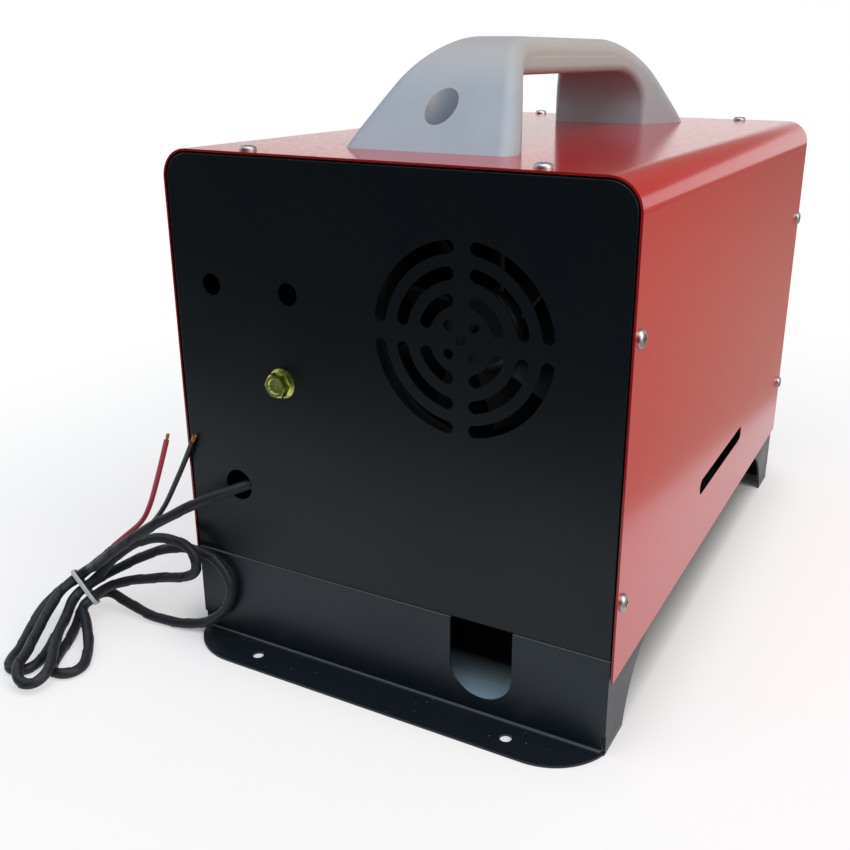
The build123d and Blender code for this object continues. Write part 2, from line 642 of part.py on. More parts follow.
def handle_side():
    """Arch of the handle seen from the side, y to the right and z up."""
    half = HANDLE_LENGTH / 2
    base, top = CASE_TOP, CASE_TOP + HANDLE_HEIGHT
    foot = (half, base)
    shoulder = (half - HANDLE_RAMP, base + HANDLE_RAMP)
    crown = (shoulder[0] - (top - shoulder[1]) / tan(pi / 8), top)
    outline = Line((0, base), foot) + Line(foot, shoulder)
    outline += TangentArc(shoulder, crown, tangent=(-1, 1))
    outline += Line(crown, (0, top)) + Line((0, top), (0, base))
    arch = make_face(outline)
    arch += mirror(arch, Plane.YZ)
    depth = HANDLE_OPENING_CORNER
    opening = Pos(0, base + (HANDLE_OPENING_HEIGHT - depth) / 2)
    opening *= Rectangle(HANDLE_OPENING, HANDLE_OPENING_HEIGHT + depth)
    return arch - fillet(opening.vertices().group_by(Axis.Y)[-1], HANDLE_OPENING_CORNER)


def handle_plan():
    """Dog-bone of the handle seen from above, x to the right and y up."""
    half = HANDLE_LENGTH / 2
    extra = HANDLE_FOOT_HALF - HANDLE_GRIP_HALF
    points = [(HANDLE_GRIP_HALF + share * extra, half - inset) for inset, share in HANDLE_FLARE]
    outline = Line((0, 0), (HANDLE_GRIP_HALF, 0)) + Line((HANDLE_GRIP_HALF, 0), points[0])
    outline += Spline(*points, tangents=[(0, 1), (0.2, 0.98)])
    outline += Line(points[-1], (0, half)) + Line((0, half), (0, 0))
    quarter = make_face(outline)
    side = quarter + mirror(quarter, Plane.YZ)
    return side + mirror(side, Plane.XZ)


def on_handle_rim(edge, outer):
    """Whether an edge runs along the outer rim of the handle, or else along its opening."""
    centre = edge @ 0.5
    along = edge % 0.5
    if abs(along.X) > 0.9 or edge.bounding_box().max.Z < CASE_TOP + 0.1:
        return False
    if abs(along.Z) > 0.999 and abs(centre.Y) < HANDLE_OPENING / 4:
        return False
    under = centre.Z <= CASE_TOP + HANDLE_OPENING_HEIGHT + 0.01
    return (abs(centre.Y) < HANDLE_OPENING / 2 + 0.01 and under) != outer


def make_carry_handle():
    base = CASE_TOP
    side = prism_x(handle_side(), -HANDLE_FOOT_HALF - 1, HANDLE_FOOT_HALF + 1)
    handle = side & extrude(Pos(0, 0, base) * handle_plan(), amount=HANDLE_HEIGHT + 1)
    handle = fillet([edge for edge in handle.edges() if on_handle_rim(edge, True)], HANDLE_RIM)
    handle = fillet([edge for edge in handle.edges() if on_handle_rim(edge, False)], HANDLE_INNER_RIM)
    for _, y in handle_bolt_places():
        end = 1 if y > 0 else -1
        handle -= rod_z(HANDLE_BORE_RADIUS, 0, y, base + HANDLE_FLOOR, base + HANDLE_HEIGHT + 1)
        handle -= rod_z(BOLT_SHANK + SCREW_GAP, 0, y, base - 1, base + HANDLE_FLOOR + 1)
        for x in (-HANDLE_POCKET_X, HANDLE_POCKET_X):
            middle = Pos(x, y - end * HANDLE_POCKET_WIDTH / 2, base)
            handle -= middle * Box(HANDLE_POCKET_WIDTH, HANDLE_POCKET_LENGTH, 2 * HANDLE_POCKET)
    return handle


def make_handle_bolts():
    bolts = []
    for x, y in handle_bolt_places():
        seat = CASE_TOP + HANDLE_FLOOR
        socket = extrude(RegularPolygon(BOLT_SOCKET, 6), BOLT_HEAD_HEIGHT)
        socket = Pos(x, y, seat + BOLT_HEAD_HEIGHT / 2) * socket
        bolt = rod_z(BOLT_HEAD, x, y, seat, seat + BOLT_HEAD_HEIGHT) - socket
        bolts.append(bolt + rod_z(BOLT_SHANK, x, y, COVER_INSIDE - BOLT_REACH, seat))
    return group(bolts)


def make_handle_nuts():
    nuts = []
    for x, y in handle_bolt_places():
        washer = rod_z(WASHER_RADIUS, x, y, COVER_INSIDE - WASHER_SHEET, COVER_INSIDE)
        foot = COVER_INSIDE - WASHER_SHEET - NUT_HEIGHT
        nut = Pos(x, y, foot) * extrude(RegularPolygon(NUT_RADIUS, 6), NUT_HEIGHT)
        nuts.append(washer + nut - rod_z(BOLT_SHANK + SHAFT_GAP, x, y, foot - 1, COVER_INSIDE + 1))
    return group(nuts)


# ---- bracket, gasket and small screws -----------------------------------
def port_places():
    return (HEATER_X - PORT_SPREAD / 2, HEATER_X + PORT_SPREAD / 2)


def bracket_sides():
    reach = SHELL_HALF_WIDTH + BRACKET_OVERHANG
    return HEATER_X - reach, HEATER_X + reach


def bracket_screw_places():
    left, right = bracket_sides()
    inset = BRACKET_SHEET + BRACKET_FOOT / 2
    rows = (BRACKET_REAR + BRACKET_SCREW_INSET, BRACKET_FRONT - BRACKET_SCREW_INSET)
    seat = STAND_HEIGHT + BRACKET_SHEET
    return [(x, y, seat) for x in (left + inset, right - inset) for y in rows]


def panel_foot_screw_places(end):
    y = end * (CASE_LENGTH / 2 - LIP_DEPTH / 2 - PANEL_SHEET)
    seat = PANEL_BASE + PANEL_SHEET
    reach = BODY_HALF - PANEL_FOOT_SCREW_SIDE
    return [(x, y, seat) for x in (-reach, reach)]


def strap_screw_places():
    outer = SLIP_GAP + STRAP_SHEET + STRAP_FOOT / 2
    seat = STAND_HEIGHT + STRAP_SHEET
    return [(TANK_LEFT - outer, STRAP_Y, seat), (TANK_RIGHT + outer, STRAP_Y, seat)]


def inner_screw_places():
    return (bracket_screw_places() + panel_foot_screw_places(-1) + panel_foot_screw_places(1)
            + strap_screw_places())


def make_inner_screws():
    return group(Pos(x, y, z) * small_screw() for x, y, z in inner_screw_places())


def make_heater_bracket():
    left, right = bracket_sides()
    y0, y1 = BRACKET_REAR, BRACKET_FRONT
    bracket = block(left, right, y0, y1, PLATFORM_TOP - BRACKET_SHEET, PLATFORM_TOP)
    for x0, foot0 in ((left, left), (right - BRACKET_SHEET, right - BRACKET_SHEET - BRACKET_FOOT)):
        bracket += block(x0, x0 + BRACKET_SHEET, y0, y1, STAND_HEIGHT, PLATFORM_TOP)
        foot_end = foot0 + BRACKET_SHEET + BRACKET_FOOT
        bracket += block(foot0, foot_end, y0, y1, STAND_HEIGHT, STAND_HEIGHT + BRACKET_SHEET)
    for x in port_places():
        bracket -= rod_z(STUB_RADIUS + 1, x, PORT_Y, PLATFORM_TOP - BRACKET_SHEET - 1, PLATFORM_TOP + 1)
    for x, y, z in bracket_screw_places():
        bracket -= rod_z(SMALL_SHANK + SCREW_GAP, x, y, z - BRACKET_SHEET - 1, z + 1)
    return bracket


def make_mounting_gasket():
    gasket = block(HEATER_X - GASKET_HALF, HEATER_X + GASKET_HALF, PORT_Y - GASKET_REACH, BRACKET_FRONT,
                   PLATFORM_TOP, PLATFORM_TOP + GASKET_THICKNESS)
    for x in port_places():
        gasket -= rod_z(STUB_RADIUS + BORE_GAP, x, PORT_Y, PLATFORM_TOP - 1, HEATER_Z)
    return gasket


def make_pipe(x):
    """Pipe pushed over a stub of the exchanger, with a free end for a clamped hose."""
    stub_end = HEATER_Z - SHELL_HALF_HEIGHT - STUB_LENGTH
    spigot_end = PIPE_END + PIPE_SPIGOT
    pipe = rod_z(PIPE_RADIUS, x, PORT_Y, spigot_end, stub_end + PIPE_OVERLAP)
    pipe += rod_z(PIPE_RADIUS - PIPE_WALL, x, PORT_Y, PIPE_END, spigot_end)
    pipe -= rod_z(PIPE_RADIUS - 2 * PIPE_WALL, x, PORT_Y, PIPE_END - 1, stub_end)
    socket = STUB_RADIUS + BORE_GAP
    return pipe - rod_z(socket, x, PORT_Y, stub_end - PIPE_SHOULDER, stub_end + PIPE_OVERLAP + 1)


# ---- heater shells ------------------------------------------------------
def shell_outline(inset):
    half_width = SHELL_HALF_WIDTH - inset
    half_height = SHELL_HALF_HEIGHT - inset
    return Pos(HEATER_X, HEATER_Z) * RectangleRounded(2 * half_width, 2 * half_height, SHELL_CORNER - inset)


def heater_shell():
    """Both plastic shells as one, with the round air inlet at the rear end."""
    shell = prism_y(shell_outline(0), SHELL_REAR, SHELL_FRONT)
    shell -= prism_y(shell_outline(SHELL_WALL), SHELL_REAR + SHELL_WALL, SHELL_FRONT + 1)
    shell -= rod_y(INLET_RADIUS, HEATER_X, HEATER_Z, SHELL_REAR - 1, SHELL_REAR + SHELL_WALL + 1)
    return shell


def exchanger_foot(margin=0.0):
    half = PORT_SPREAD / 2 + STUB_RADIUS + 2 + margin
    return block(HEATER_X - half, HEATER_X + half, PORT_Y - 24 - margin, PORT_Y + 24 + margin,
                 HEATER_Z - SHELL_HALF_HEIGHT - margin, HEATER_Z - 36)


def make_lower_case():
    reach = SHELL_HALF_WIDTH + 1
    half = block(HEATER_X - reach, HEATER_X + reach, SHELL_REAR - 1, SHELL_FRONT + 1,
                 HEATER_Z - SHELL_HALF_HEIGHT - 1, HEATER_Z - SHELL_SPLIT)
    case = (heater_shell() & half) - exchanger_foot(SLIP_GAP)
    left = HEATER_X - SHELL_HALF_WIDTH
    bore = BARB_RADIUS + SCREW_GAP
    return case - rod_x(bore, INLET_PIPE_Y, INLET_PIPE_Z, left - 1, left + SHELL_WALL + 1)


def make_upper_case():
    reach = SHELL_HALF_WIDTH + 1
    half = block(HEATER_X - reach, HEATER_X + reach, SHELL_REAR - 1, SHELL_FRONT + 1,
                 HEATER_Z + SHELL_SPLIT, HEATER_Z + SHELL_HALF_HEIGHT + 1)
    loom_y, loom_z = loom_points()[-2][1], loom_points()[-1][2] - 4.5
    left = HEATER_X - SHELL_HALF_WIDTH
    return (heater_shell() & half) - rod_x(LOOM_RADIUS + 5, loom_y, loom_z, left - 1, left + SHELL_WALL + 4)


# ---- heat exchanger, burner and blower ----------------------------------
def flange_bolt_places():
    angles = (45, 135, 225, 315)
    turns = [radians(angle) for angle in angles]
    return [(HEATER_X + BOLT_CIRCLE * cos(turn), HEATER_Z + BOLT_CIRCLE * sin(turn)) for turn in turns]


def drill_flange(solid, y0, y1):
    for x, z in flange_bolt_places():
        solid -= rod_y(BURNER_SHANK + SCREW_GAP, x, z, y0, y1)
    return solid


def make_heat_exchanger():
    outer = EXCHANGER_BORE + EXCHANGER_WALL
    section = Pos(HEATER_X, HEATER_Z) * Circle(outer)
    for k in range(FIN_COUNT):
        fin = Pos((outer + FIN_TIP) / 2 - 0.5, 0) * Rectangle(FIN_TIP - outer + 1, FIN_THICKNESS)
        section += Pos(HEATER_X, HEATER_Z) * Rot(0, 0, 360 * (k + 0.5) / FIN_COUNT) * fin
    body = prism_y(section, EXCHANGER_REAR + 6, EXCHANGER_FRONT)
    body += rod_y(BURNER_FLANGE_RADIUS, HEATER_X, HEATER_Z, EXCHANGER_REAR, EXCHANGER_REAR + 6)
    body += exchanger_foot()
    for x in port_places():
        foot = HEATER_Z - SHELL_HALF_HEIGHT
        body += rod_z(STUB_RADIUS, x, PORT_Y, foot - STUB_LENGTH, foot + 1)
        body -= rod_z(STUB_BORE, x, PORT_Y, foot - STUB_LENGTH - 1, foot + 16)
    body -= rod_y(EXCHANGER_BORE, HEATER_X, HEATER_Z, EXCHANGER_REAR - 1, EXCHANGER_FRONT - EXCHANGER_END)
    return drill_flange(body, EXCHANGER_REAR - 1, EXCHANGER_REAR + 8)


def make_burner_gasket():
    rear = EXCHANGER_REAR - BURNER_GASKET
    ring = pipe_y(BURNER_FLANGE_RADIUS, EXCHANGER_BORE, HEATER_X, HEATER_Z, rear, EXCHANGER_REAR)
    return drill_flange(ring, rear - 1, EXCHANGER_REAR + 1)


def make_burner():
    rear = FLANGE_REAR
    burner = rod_y(BURNER_FLANGE_RADIUS, HEATER_X, HEATER_Z, rear, rear + BURNER_FLANGE)
    burner = drill_flange(burner, rear - 1, rear + BURNER_FLANGE + 1)
    tube_end = rear + min(BURNER_TUBE_LENGTH, EXCHANGER_FRONT - EXCHANGER_END - SLIP_GAP - rear)
    burner += pipe_y(BURNER_TUBE, BURNER_TUBE - BURNER_TUBE_WALL, HEATER_X, HEATER_Z,
                     rear + BURNER_FLANGE - 1, tube_end)
    burner += block(HEATER_X - 8, HEATER_X + 8, rear - 14, rear + 1, HEATER_Z + 14, HEATER_Z + 35)
    burner += block(INLET_BOSS_X - 2, INLET_BOSS_X + 9, rear, rear + BURNER_FLANGE,
                    INLET_PIPE_Z - 4, INLET_PIPE_Z + 4)
    burner += rod_x(4.5, INLET_PIPE_Y, INLET_PIPE_Z, INLET_BOSS_X - 6, INLET_BOSS_X)
    burner -= rod_x(BARB_RADIUS + BORE_GAP, INLET_PIPE_Y, INLET_PIPE_Z, INLET_BOSS_X - 7, INLET_BOSS_X - 1)
    return burner - rod_z(GLOW_RADIUS + BORE_GAP, HEATER_X, PLUG_Y, HEATER_Z + 16, HEATER_Z + 36)


def make_glow_plug():
    plug = rod_z(GLOW_RADIUS, HEATER_X, PLUG_Y, HEATER_Z + 17, HEATER_Z + 35)
    hexagon = Pos(HEATER_X, PLUG_Y, HEATER_Z + 35) * extrude(RegularPolygon(GLOW_HEX, 6), 7)
    return plug + hexagon + rod_z(2, HEATER_X, PLUG_Y, HEATER_Z + 42, HEATER_Z + 50)


def make_fan_housing():
    rear = MOTOR_FRONT
    housing = pipe_y(HOUSING_RADIUS, HOUSING_RADIUS - HOUSING_WALL, HEATER_X, HEATER_Z, rear, FLANGE_REAR)
    housing += pipe_y(BURNER_FLANGE_RADIUS, HOUSING_RADIUS - 1, HEATER_X, HEATER_Z,
                      FLANGE_REAR - HOUSING_WALL, FLANGE_REAR)
    housing += pipe_y(HOUSING_RADIUS - 1, SHAFT_RADIUS + 0.8, HEATER_X, HEATER_Z, rear, HOUSING_REAR)
    plug_hole = GLOW_HEX + SLIP_GAP + 1.1
    housing -= rod_z(plug_hole, HEATER_X, PLUG_Y, HEATER_Z + HOUSING_RADIUS - 8,
                     HEATER_Z + BURNER_FLANGE_RADIUS + 6)
    return drill_flange(housing, FLANGE_REAR - 5, FLANGE_REAR + 1)


def make_burner_bolts():
    seat = FLANGE_REAR - 4
    bolts = []
    for x, z in flange_bolt_places():
        head = prism_y(Pos(x, z) * RegularPolygon(BURNER_HEAD, 6), seat - 4, seat)
        bolts.append(head + rod_y(BURNER_SHANK, x, z, seat - 1, EXCHANGER_REAR + 5))
    return group(bolts)


def make_motor_body():
    can = rod_y(MOTOR_RADIUS, HEATER_X, HEATER_Z, MOTOR_REAR, MOTOR_FRONT)
    inner = MOTOR_RADIUS - MOTOR_WALL
    can -= rod_y(inner, HEATER_X, HEATER_Z, MOTOR_REAR + MOTOR_WALL, MOTOR_FRONT - MOTOR_WALL)
    return can - rod_y(BEARING_RADIUS + SHAFT_GAP, HEATER_X, HEATER_Z, MOTOR_REAR - 1, MOTOR_FRONT + 1)


def make_motor_bearings():
    bore = SHAFT_RADIUS + SHAFT_GAP
    rings = []
    for y0 in (MOTOR_REAR, MOTOR_FRONT - MOTOR_WALL):
        rings.append(pipe_y(BEARING_RADIUS, bore, HEATER_X, HEATER_Z, y0, y0 + MOTOR_WALL))
    return group(rings)


def make_blower_shaft():
    return rod_y(SHAFT_RADIUS, HEATER_X, HEATER_Z, FAN_REAR - 2, HOUSING_REAR + 22)


def make_rotor_magnet():
    reach = MOTOR_WALL + 6
    return pipe_y(MOTOR_RADIUS - MOTOR_WALL - 1.5, SHAFT_RADIUS + 0.02, HEATER_X, HEATER_Z,
                  MOTOR_REAR + reach, MOTOR_FRONT - reach)


def make_hot_air_impeller():
    middle = (FAN_REAR + FAN_FRONT) / 2
    hub = rod_y(FAN_HUB, HEATER_X, HEATER_Z, FAN_REAR, FAN_FRONT)
    hub = fillet(hub.edges().group_by(Axis.Y)[0], 7)
    fan = hub
    for k in range(FAN_BLADES):
        root = FAN_HUB - 2
        blade = Rot(0, 0, FAN_TILT) * Box(2, FAN_FRONT - FAN_REAR, FAN_TIP - root)
        blade = Pos(0, 0, (root + FAN_TIP) / 2) * blade
        fan += Pos(HEATER_X, middle, HEATER_Z) * Rot(0, 360 * k / FAN_BLADES, 0) * blade
    fan &= rod_y(FAN_TIP, HEATER_X, HEATER_Z, FAN_REAR - 1, FAN_FRONT + 1)
    return fan - rod_y(SHAFT_RADIUS + 0.02, HEATER_X, HEATER_Z, FAN_REAR - 3, FAN_FRONT + 1)


def make_combustion_impeller():
    y0 = HOUSING_REAR + 6
    y1 = y0 + 14
    fan = rod_y(34, HEATER_X, HEATER_Z, y1 - 2, y1) + rod_y(9, HEATER_X, HEATER_Z, y0, y1)
    for k in range(12):
        blade = Pos(0, 0, 23.5) * Box(1.5, y1 - y0, 20)
        fan += Pos(HEATER_X, (y0 + y1) / 2, HEATER_Z) * Rot(0, 30 * k, 0) * blade
    return fan - rod_y(SHAFT_RADIUS + 0.02, HEATER_X, HEATER_Z, y0 - 1, y1 + 1)


def make_control_unit():
    top = HEATER_Z + SHELL_HALF_HEIGHT - SHELL_WALL - SLIP_GAP
    box = block(HEATER_X - CONTROL_HALF, HEATER_X + CONTROL_HALF, MOTOR_REAR + 8, MOTOR_FRONT - 6,
                HEATER_Z + MOTOR_RADIUS + 4, top)
    return fillet(box.edges().filter_by(Axis.Y), 2)


def make_overheat_sensor():
    seat = HEATER_Z + sqrt(FIN_TIP ** 2 - 6 ** 2) - 0.2
    return block(HEATER_X - 6, HEATER_X + 6, EXCHANGER_FRONT - 32, EXCHANGER_FRONT - 18,
                 seat + SLIP_GAP, seat + 5)


# ---- outlet -------------------------------------------------------------
def make_outlet_nozzle():
    y0 = SHELL_FRONT
    nozzle = prism_y(shell_outline(0), y0, y0 + NOZZLE_PLATE)
    mouth = SHELL_HALF_WIDTH - 14
    length = NOZZLE_FRONT - y0 - NOZZLE_PLATE
    middle = (y0 + NOZZLE_PLATE + NOZZLE_FRONT) / 2
    turn = Pos(HEATER_X, middle, HEATER_Z) * Rot(-90, 0, 0)
    nozzle += turn * Cone(mouth + SHELL_WALL, COLLAR_RADIUS, length)
    nozzle += rod_y(COLLAR_RADIUS, HEATER_X, HEATER_Z, NOZZLE_FRONT - 0.5, NOZZLE_FRONT + DUCT_OVERLAP)
    nozzle -= rod_y(mouth, HEATER_X, HEATER_Z, y0 - 1, y0 + NOZZLE_PLATE + 0.01)
    nozzle -= turn * Cone(mouth, COLLAR_BORE, length)
    end = NOZZLE_FRONT + DUCT_OVERLAP
    return nozzle - rod_y(COLLAR_BORE, HEATER_X, HEATER_Z, NOZZLE_FRONT - 1, end + 1)


def make_outlet_duct():
    bore = COLLAR_RADIUS + BORE_GAP
    return pipe_y(bore + 1.2, bore, HEATER_X, HEATER_Z, NOZZLE_FRONT + 1, FRONT_Y - PANEL_SHEET - 14)


def make_outlet_collar():
    start = FRONT_Y - PANEL_SHEET - 24
    collar = rod_y(COLLAR_RADIUS, HEATER_X, HEATER_Z, start, FRONT_Y + COLLAR_REACH)
    collar += rod_y(COLLAR_FLANGE, HEATER_X, HEATER_Z, FRONT_Y, FRONT_Y + COLLAR_FLANGE_SHEET)
    return collar - rod_y(COLLAR_BORE, HEATER_X, HEATER_Z, start - 1, FRONT_Y + COLLAR_REACH + 1)


def make_outlet_louvre():
    front = FRONT_Y + LOUVRE_REACH
    rear = FRONT_Y + 6
    outer = COLLAR_BORE - SLIP_GAP
    ring = pipe_y(outer, outer - 2, HEATER_X, HEATER_Z, rear, front)
    lip_rear = FRONT_Y + COLLAR_REACH + SLIP_GAP
    ring += pipe_y(COLLAR_RADIUS - 0.4, outer - 2, HEATER_X, HEATER_Z, lip_rear, front)
    pitch = 2 * (outer - 2) / (LOUVRE_BLADES + 1)
    blades = block(HEATER_X - 1.2, HEATER_X + 1.2, rear + 2, front - 2, HEATER_Z - outer, HEATER_Z + outer)
    for k in range(LOUVRE_BLADES):
        z = HEATER_Z + (k - (LOUVRE_BLADES - 1) / 2) * pitch
        blades += Pos(HEATER_X, (rear + front) / 2, z) * Rot(35, 0, 0) * Box(2 * outer, 14, 1.8)
    return ring + (blades & rod_y(outer - 1, HEATER_X, HEATER_Z, rear, front))


# ---- fuel side ----------------------------------------------------------
def rounded_box(x0, x1, y0, y1, z0, z1, corner):
    box = block(x0, x1, y0, y1, z0, z1)
    return fillet(box.edges(), corner)


def make_fuel_tank():
    floor = STAND_HEIGHT + SLIP_GAP
    wall = TANK_WALL
    tank = rounded_box(TANK_LEFT, TANK_RIGHT, TANK_REAR, TANK_FRONT, floor, TANK_TOP, TANK_CORNER)
    tank -= rounded_box(TANK_LEFT + wall, TANK_RIGHT - wall, TANK_REAR + wall, TANK_FRONT - wall,
                        floor + wall, TANK_TOP - wall, TANK_CORNER - wall)
    tank -= rod_z(NECK_BORE, NECK_X, NECK_Y, TANK_TOP - 10, TANK_TOP + 1)
    return tank - rod_z(BARB_RADIUS + BORE_GAP, PICKUP_X, PICKUP_Y, TANK_TOP - 10, TANK_TOP + 1)


def make_filler_neck():
    neck = rod_z(NECK_RADIUS, NECK_X, NECK_Y, TANK_TOP, NECK_RIM)
    neck += rod_z(NECK_FLANGE, NECK_X, NECK_Y, TANK_TOP, TANK_TOP + NECK_FLANGE_HEIGHT)
    return neck - rod_z(NECK_BORE, NECK_X, NECK_Y, TANK_TOP - 1, NECK_RIM + 1)


def make_filler_grommet():
    bore = NECK_RADIUS + BORE_GAP
    return pipe_z(GROMMET_RADIUS, bore, NECK_X, NECK_Y, CASE_TOP, CASE_TOP + GROMMET_HEIGHT)


def make_cap_seal():
    base = NECK_RIM + BORE_GAP
    return pipe_z(NECK_RADIUS - 0.3, SEAL_BORE, NECK_X, NECK_Y, base, base + SEAL_THICKNESS)


def make_filler_cap():
    base = CASE_TOP + GROMMET_HEIGHT + SLIP_GAP + 0.4
    cap = rod_z(CAP_RADIUS, NECK_X, NECK_Y, base, CAP_TOP)
    cap = fillet(cap.edges().group_by(Axis.Z)[-1], 2.5)
    for k in range(CAP_GRIPS):
        groove = Pos(CAP_RADIUS + 0.6, 0, 0) * Cylinder(1.6, 2 * (CAP_TOP - base) - 10)
        cap -= Pos(NECK_X, NECK_Y, base) * Rot(0, 0, 360 * k / CAP_GRIPS) * groove
    cap -= rod_z(NECK_RADIUS + 0.6, NECK_X, NECK_Y, base - 1, CAP_TOP - CAP_ROOF)
    return cap


def make_tank_strap():
    left = TANK_LEFT - SLIP_GAP
    right = TANK_RIGHT + SLIP_GAP
    top = TANK_TOP + SLIP_GAP
    y0, y1 = STRAP_Y - STRAP_WIDTH / 2, STRAP_Y + STRAP_WIDTH / 2
    corner = TANK_CORNER + SLIP_GAP
    outer = Pos((left + right) / 2, (top + STAND_HEIGHT) / 2)
    width, height = right - left, top - STAND_HEIGHT
    outside = outer * Pos(0, STRAP_SHEET / 2) * Rectangle(width + 2 * STRAP_SHEET, height + STRAP_SHEET)
    inside = outer * Pos(0, -1) * Rectangle(width, height + 2)
    outside = fillet(outside.vertices().group_by(Axis.Y)[-1], corner + STRAP_SHEET)
    inside = fillet(inside.vertices().group_by(Axis.Y)[-1], corner)
    strap = prism_y(outside - inside, y0, y1)
    foot_top = STAND_HEIGHT + STRAP_SHEET
    strap += block(left - STRAP_SHEET - STRAP_FOOT, left, y0, y1, STAND_HEIGHT, foot_top)
    strap += block(right, right + STRAP_SHEET + STRAP_FOOT, y0, y1, STAND_HEIGHT, foot_top)
    for x, y, z in strap_screw_places():
        strap -= rod_z(SMALL_SHANK + SCREW_GAP, x, y, z - 3, z + 1)
    return strap


def make_fuel_pickup():
    flange = rod_z(9, PICKUP_X, PICKUP_Y, TANK_TOP, TANK_TOP + 3)
    tube_part = rod_z(BARB_RADIUS, PICKUP_X, PICKUP_Y, STAND_HEIGHT + 12, TANK_TOP + 14)
    return flange + tube_part - rod_z(1.4, PICKUP_X, PICKUP_Y, STAND_HEIGHT, TANK_TOP + 20)


def make_fuel_pump():
    pump = rod_z(PUMP_RADIUS, PUMP_X, PUMP_Y, PUMP_Z - PUMP_HALF, PUMP_Z + PUMP_HALF)
    pump = chamfer(pump.edges(), 1.5)
    reach = PUMP_HALF + PUMP_BARB
    pump += rod_z(BARB_RADIUS, PUMP_X, PUMP_Y, PUMP_Z - reach, PUMP_Z + reach)
    plug = block(PUMP_X - 7, PUMP_X + 7, PUMP_Y + 8, PUMP_Y + PUMP_RADIUS + 8, PUMP_Z + 16, PUMP_Z + 28)
    return pump + plug


def make_pump_mount():
    inner_face = REAR_Y + PANEL_SHEET
    half = MOUNT_HALF
    mount = rod_z(PUMP_RADIUS + MOUNT_WALL, PUMP_X, PUMP_Y, PUMP_Z - half, PUMP_Z + half)
    mount += block(PUMP_X - half, PUMP_X + half, inner_face, PUMP_Y, PUMP_Z - half, PUMP_Z + half)
    mount -= rod_z(PUMP_RADIUS + BORE_GAP, PUMP_X, PUMP_Y, PUMP_Z - half - 1, PUMP_Z + half + 1)
    bolt_end = REAR_Y + PUMP_BOLT_LENGTH
    return mount - rod_y(PUMP_BOLT_SHANK + SCREW_GAP, PUMP_X, PUMP_Z, inner_face - 1, bolt_end + 1)


def make_pump_bolt():
    """Flange bolt through the rear panel: a cone-shaped flange, a chamfered hexagon and a shallow dish."""
    seat = (Align.CENTER, Align.CENTER, Align.MIN)
    across = PUMP_BOLT_HEX / 2
    bolt = Cylinder(PUMP_BOLT_FLANGE, PUMP_BOLT_RIM, align=seat)
    cone = Cone(PUMP_BOLT_FLANGE, across, PUMP_BOLT_CONE - PUMP_BOLT_RIM, align=seat)
    bolt += Pos(0, 0, PUMP_BOLT_RIM) * cone
    hexagon = extrude(RegularPolygon(across / cos(pi / 6), 6), PUMP_BOLT_HEAD)
    tip = across - 0.2
    hexagon &= Cone(tip + PUMP_BOLT_HEAD / tan(pi / 6), tip, PUMP_BOLT_HEAD, align=seat)
    dish = Cone(PUMP_BOLT_DISH - PUMP_BOLT_DISH_DEPTH, PUMP_BOLT_DISH, PUMP_BOLT_DISH_DEPTH, align=seat)
    bolt += hexagon - Pos(0, 0, PUMP_BOLT_HEAD - PUMP_BOLT_DISH_DEPTH) * dish
    bolt += Pos(0, 0, -PUMP_BOLT_LENGTH) * Cylinder(PUMP_BOLT_SHANK, PUMP_BOLT_LENGTH + 1, align=seat)
    return Pos(PUMP_X, REAR_Y, PUMP_Z) * Rot(90, 0, 0) * bolt


def make_fuel_inlet():
    points = [(INLET_BOSS_X - 1.2, INLET_PIPE_Y, INLET_PIPE_Z), (LINE_X, INLET_PIPE_Y, INLET_PIPE_Z),
              (LINE_X, INLET_PIPE_Y - 70, INLET_PIPE_Z)]
    return tube(route(points, [5]), BARB_RADIUS, 1.5)


def make_fuel_hoses():
    bore = BARB_RADIUS + BORE_GAP
    high, low = TANK_TOP + HOSE_TOP, PUMP_Z - PUMP_HALF
    turn_y = PUMP_Y + 42
    supply = [
        (PICKUP_X, PICKUP_Y, TANK_TOP + 4), (PICKUP_X, PICKUP_Y, high), (PICKUP_X, turn_y, high),
        (PICKUP_X, turn_y, low - 30), (PUMP_X, PUMP_Y, low - 36), (PUMP_X, PUMP_Y, low - 2),
    ]
    above = PUMP_Z + PUMP_HALF
    feed = [
        (LINE_X, INLET_PIPE_Y - 60, INLET_PIPE_Z), (LINE_X, INLET_PIPE_Y - 80, INLET_PIPE_Z),
        (LINE_X, PUMP_Y + 30, INLET_PIPE_Z + 12), ((LINE_X + PUMP_X) / 2, PUMP_Y + 8, above + 30),
        (PUMP_X, PUMP_Y, above + 32), (PUMP_X, PUMP_Y, above + 2),
    ]
    return group([tube(route(supply, [10, 14, 12, 9]), HOSE_RADIUS, bore),
                  tube(route(feed, [20, 10, 8, 8]), HOSE_RADIUS, bore)])


# ---- controller ---------------------------------------------------------
def button_places():
    first = CONTROLLER_X - BUTTON_PITCH * (len(BUTTON_NAMES) - 1) / 2
    return [first + BUTTON_PITCH * k for k in range(len(BUTTON_NAMES))]


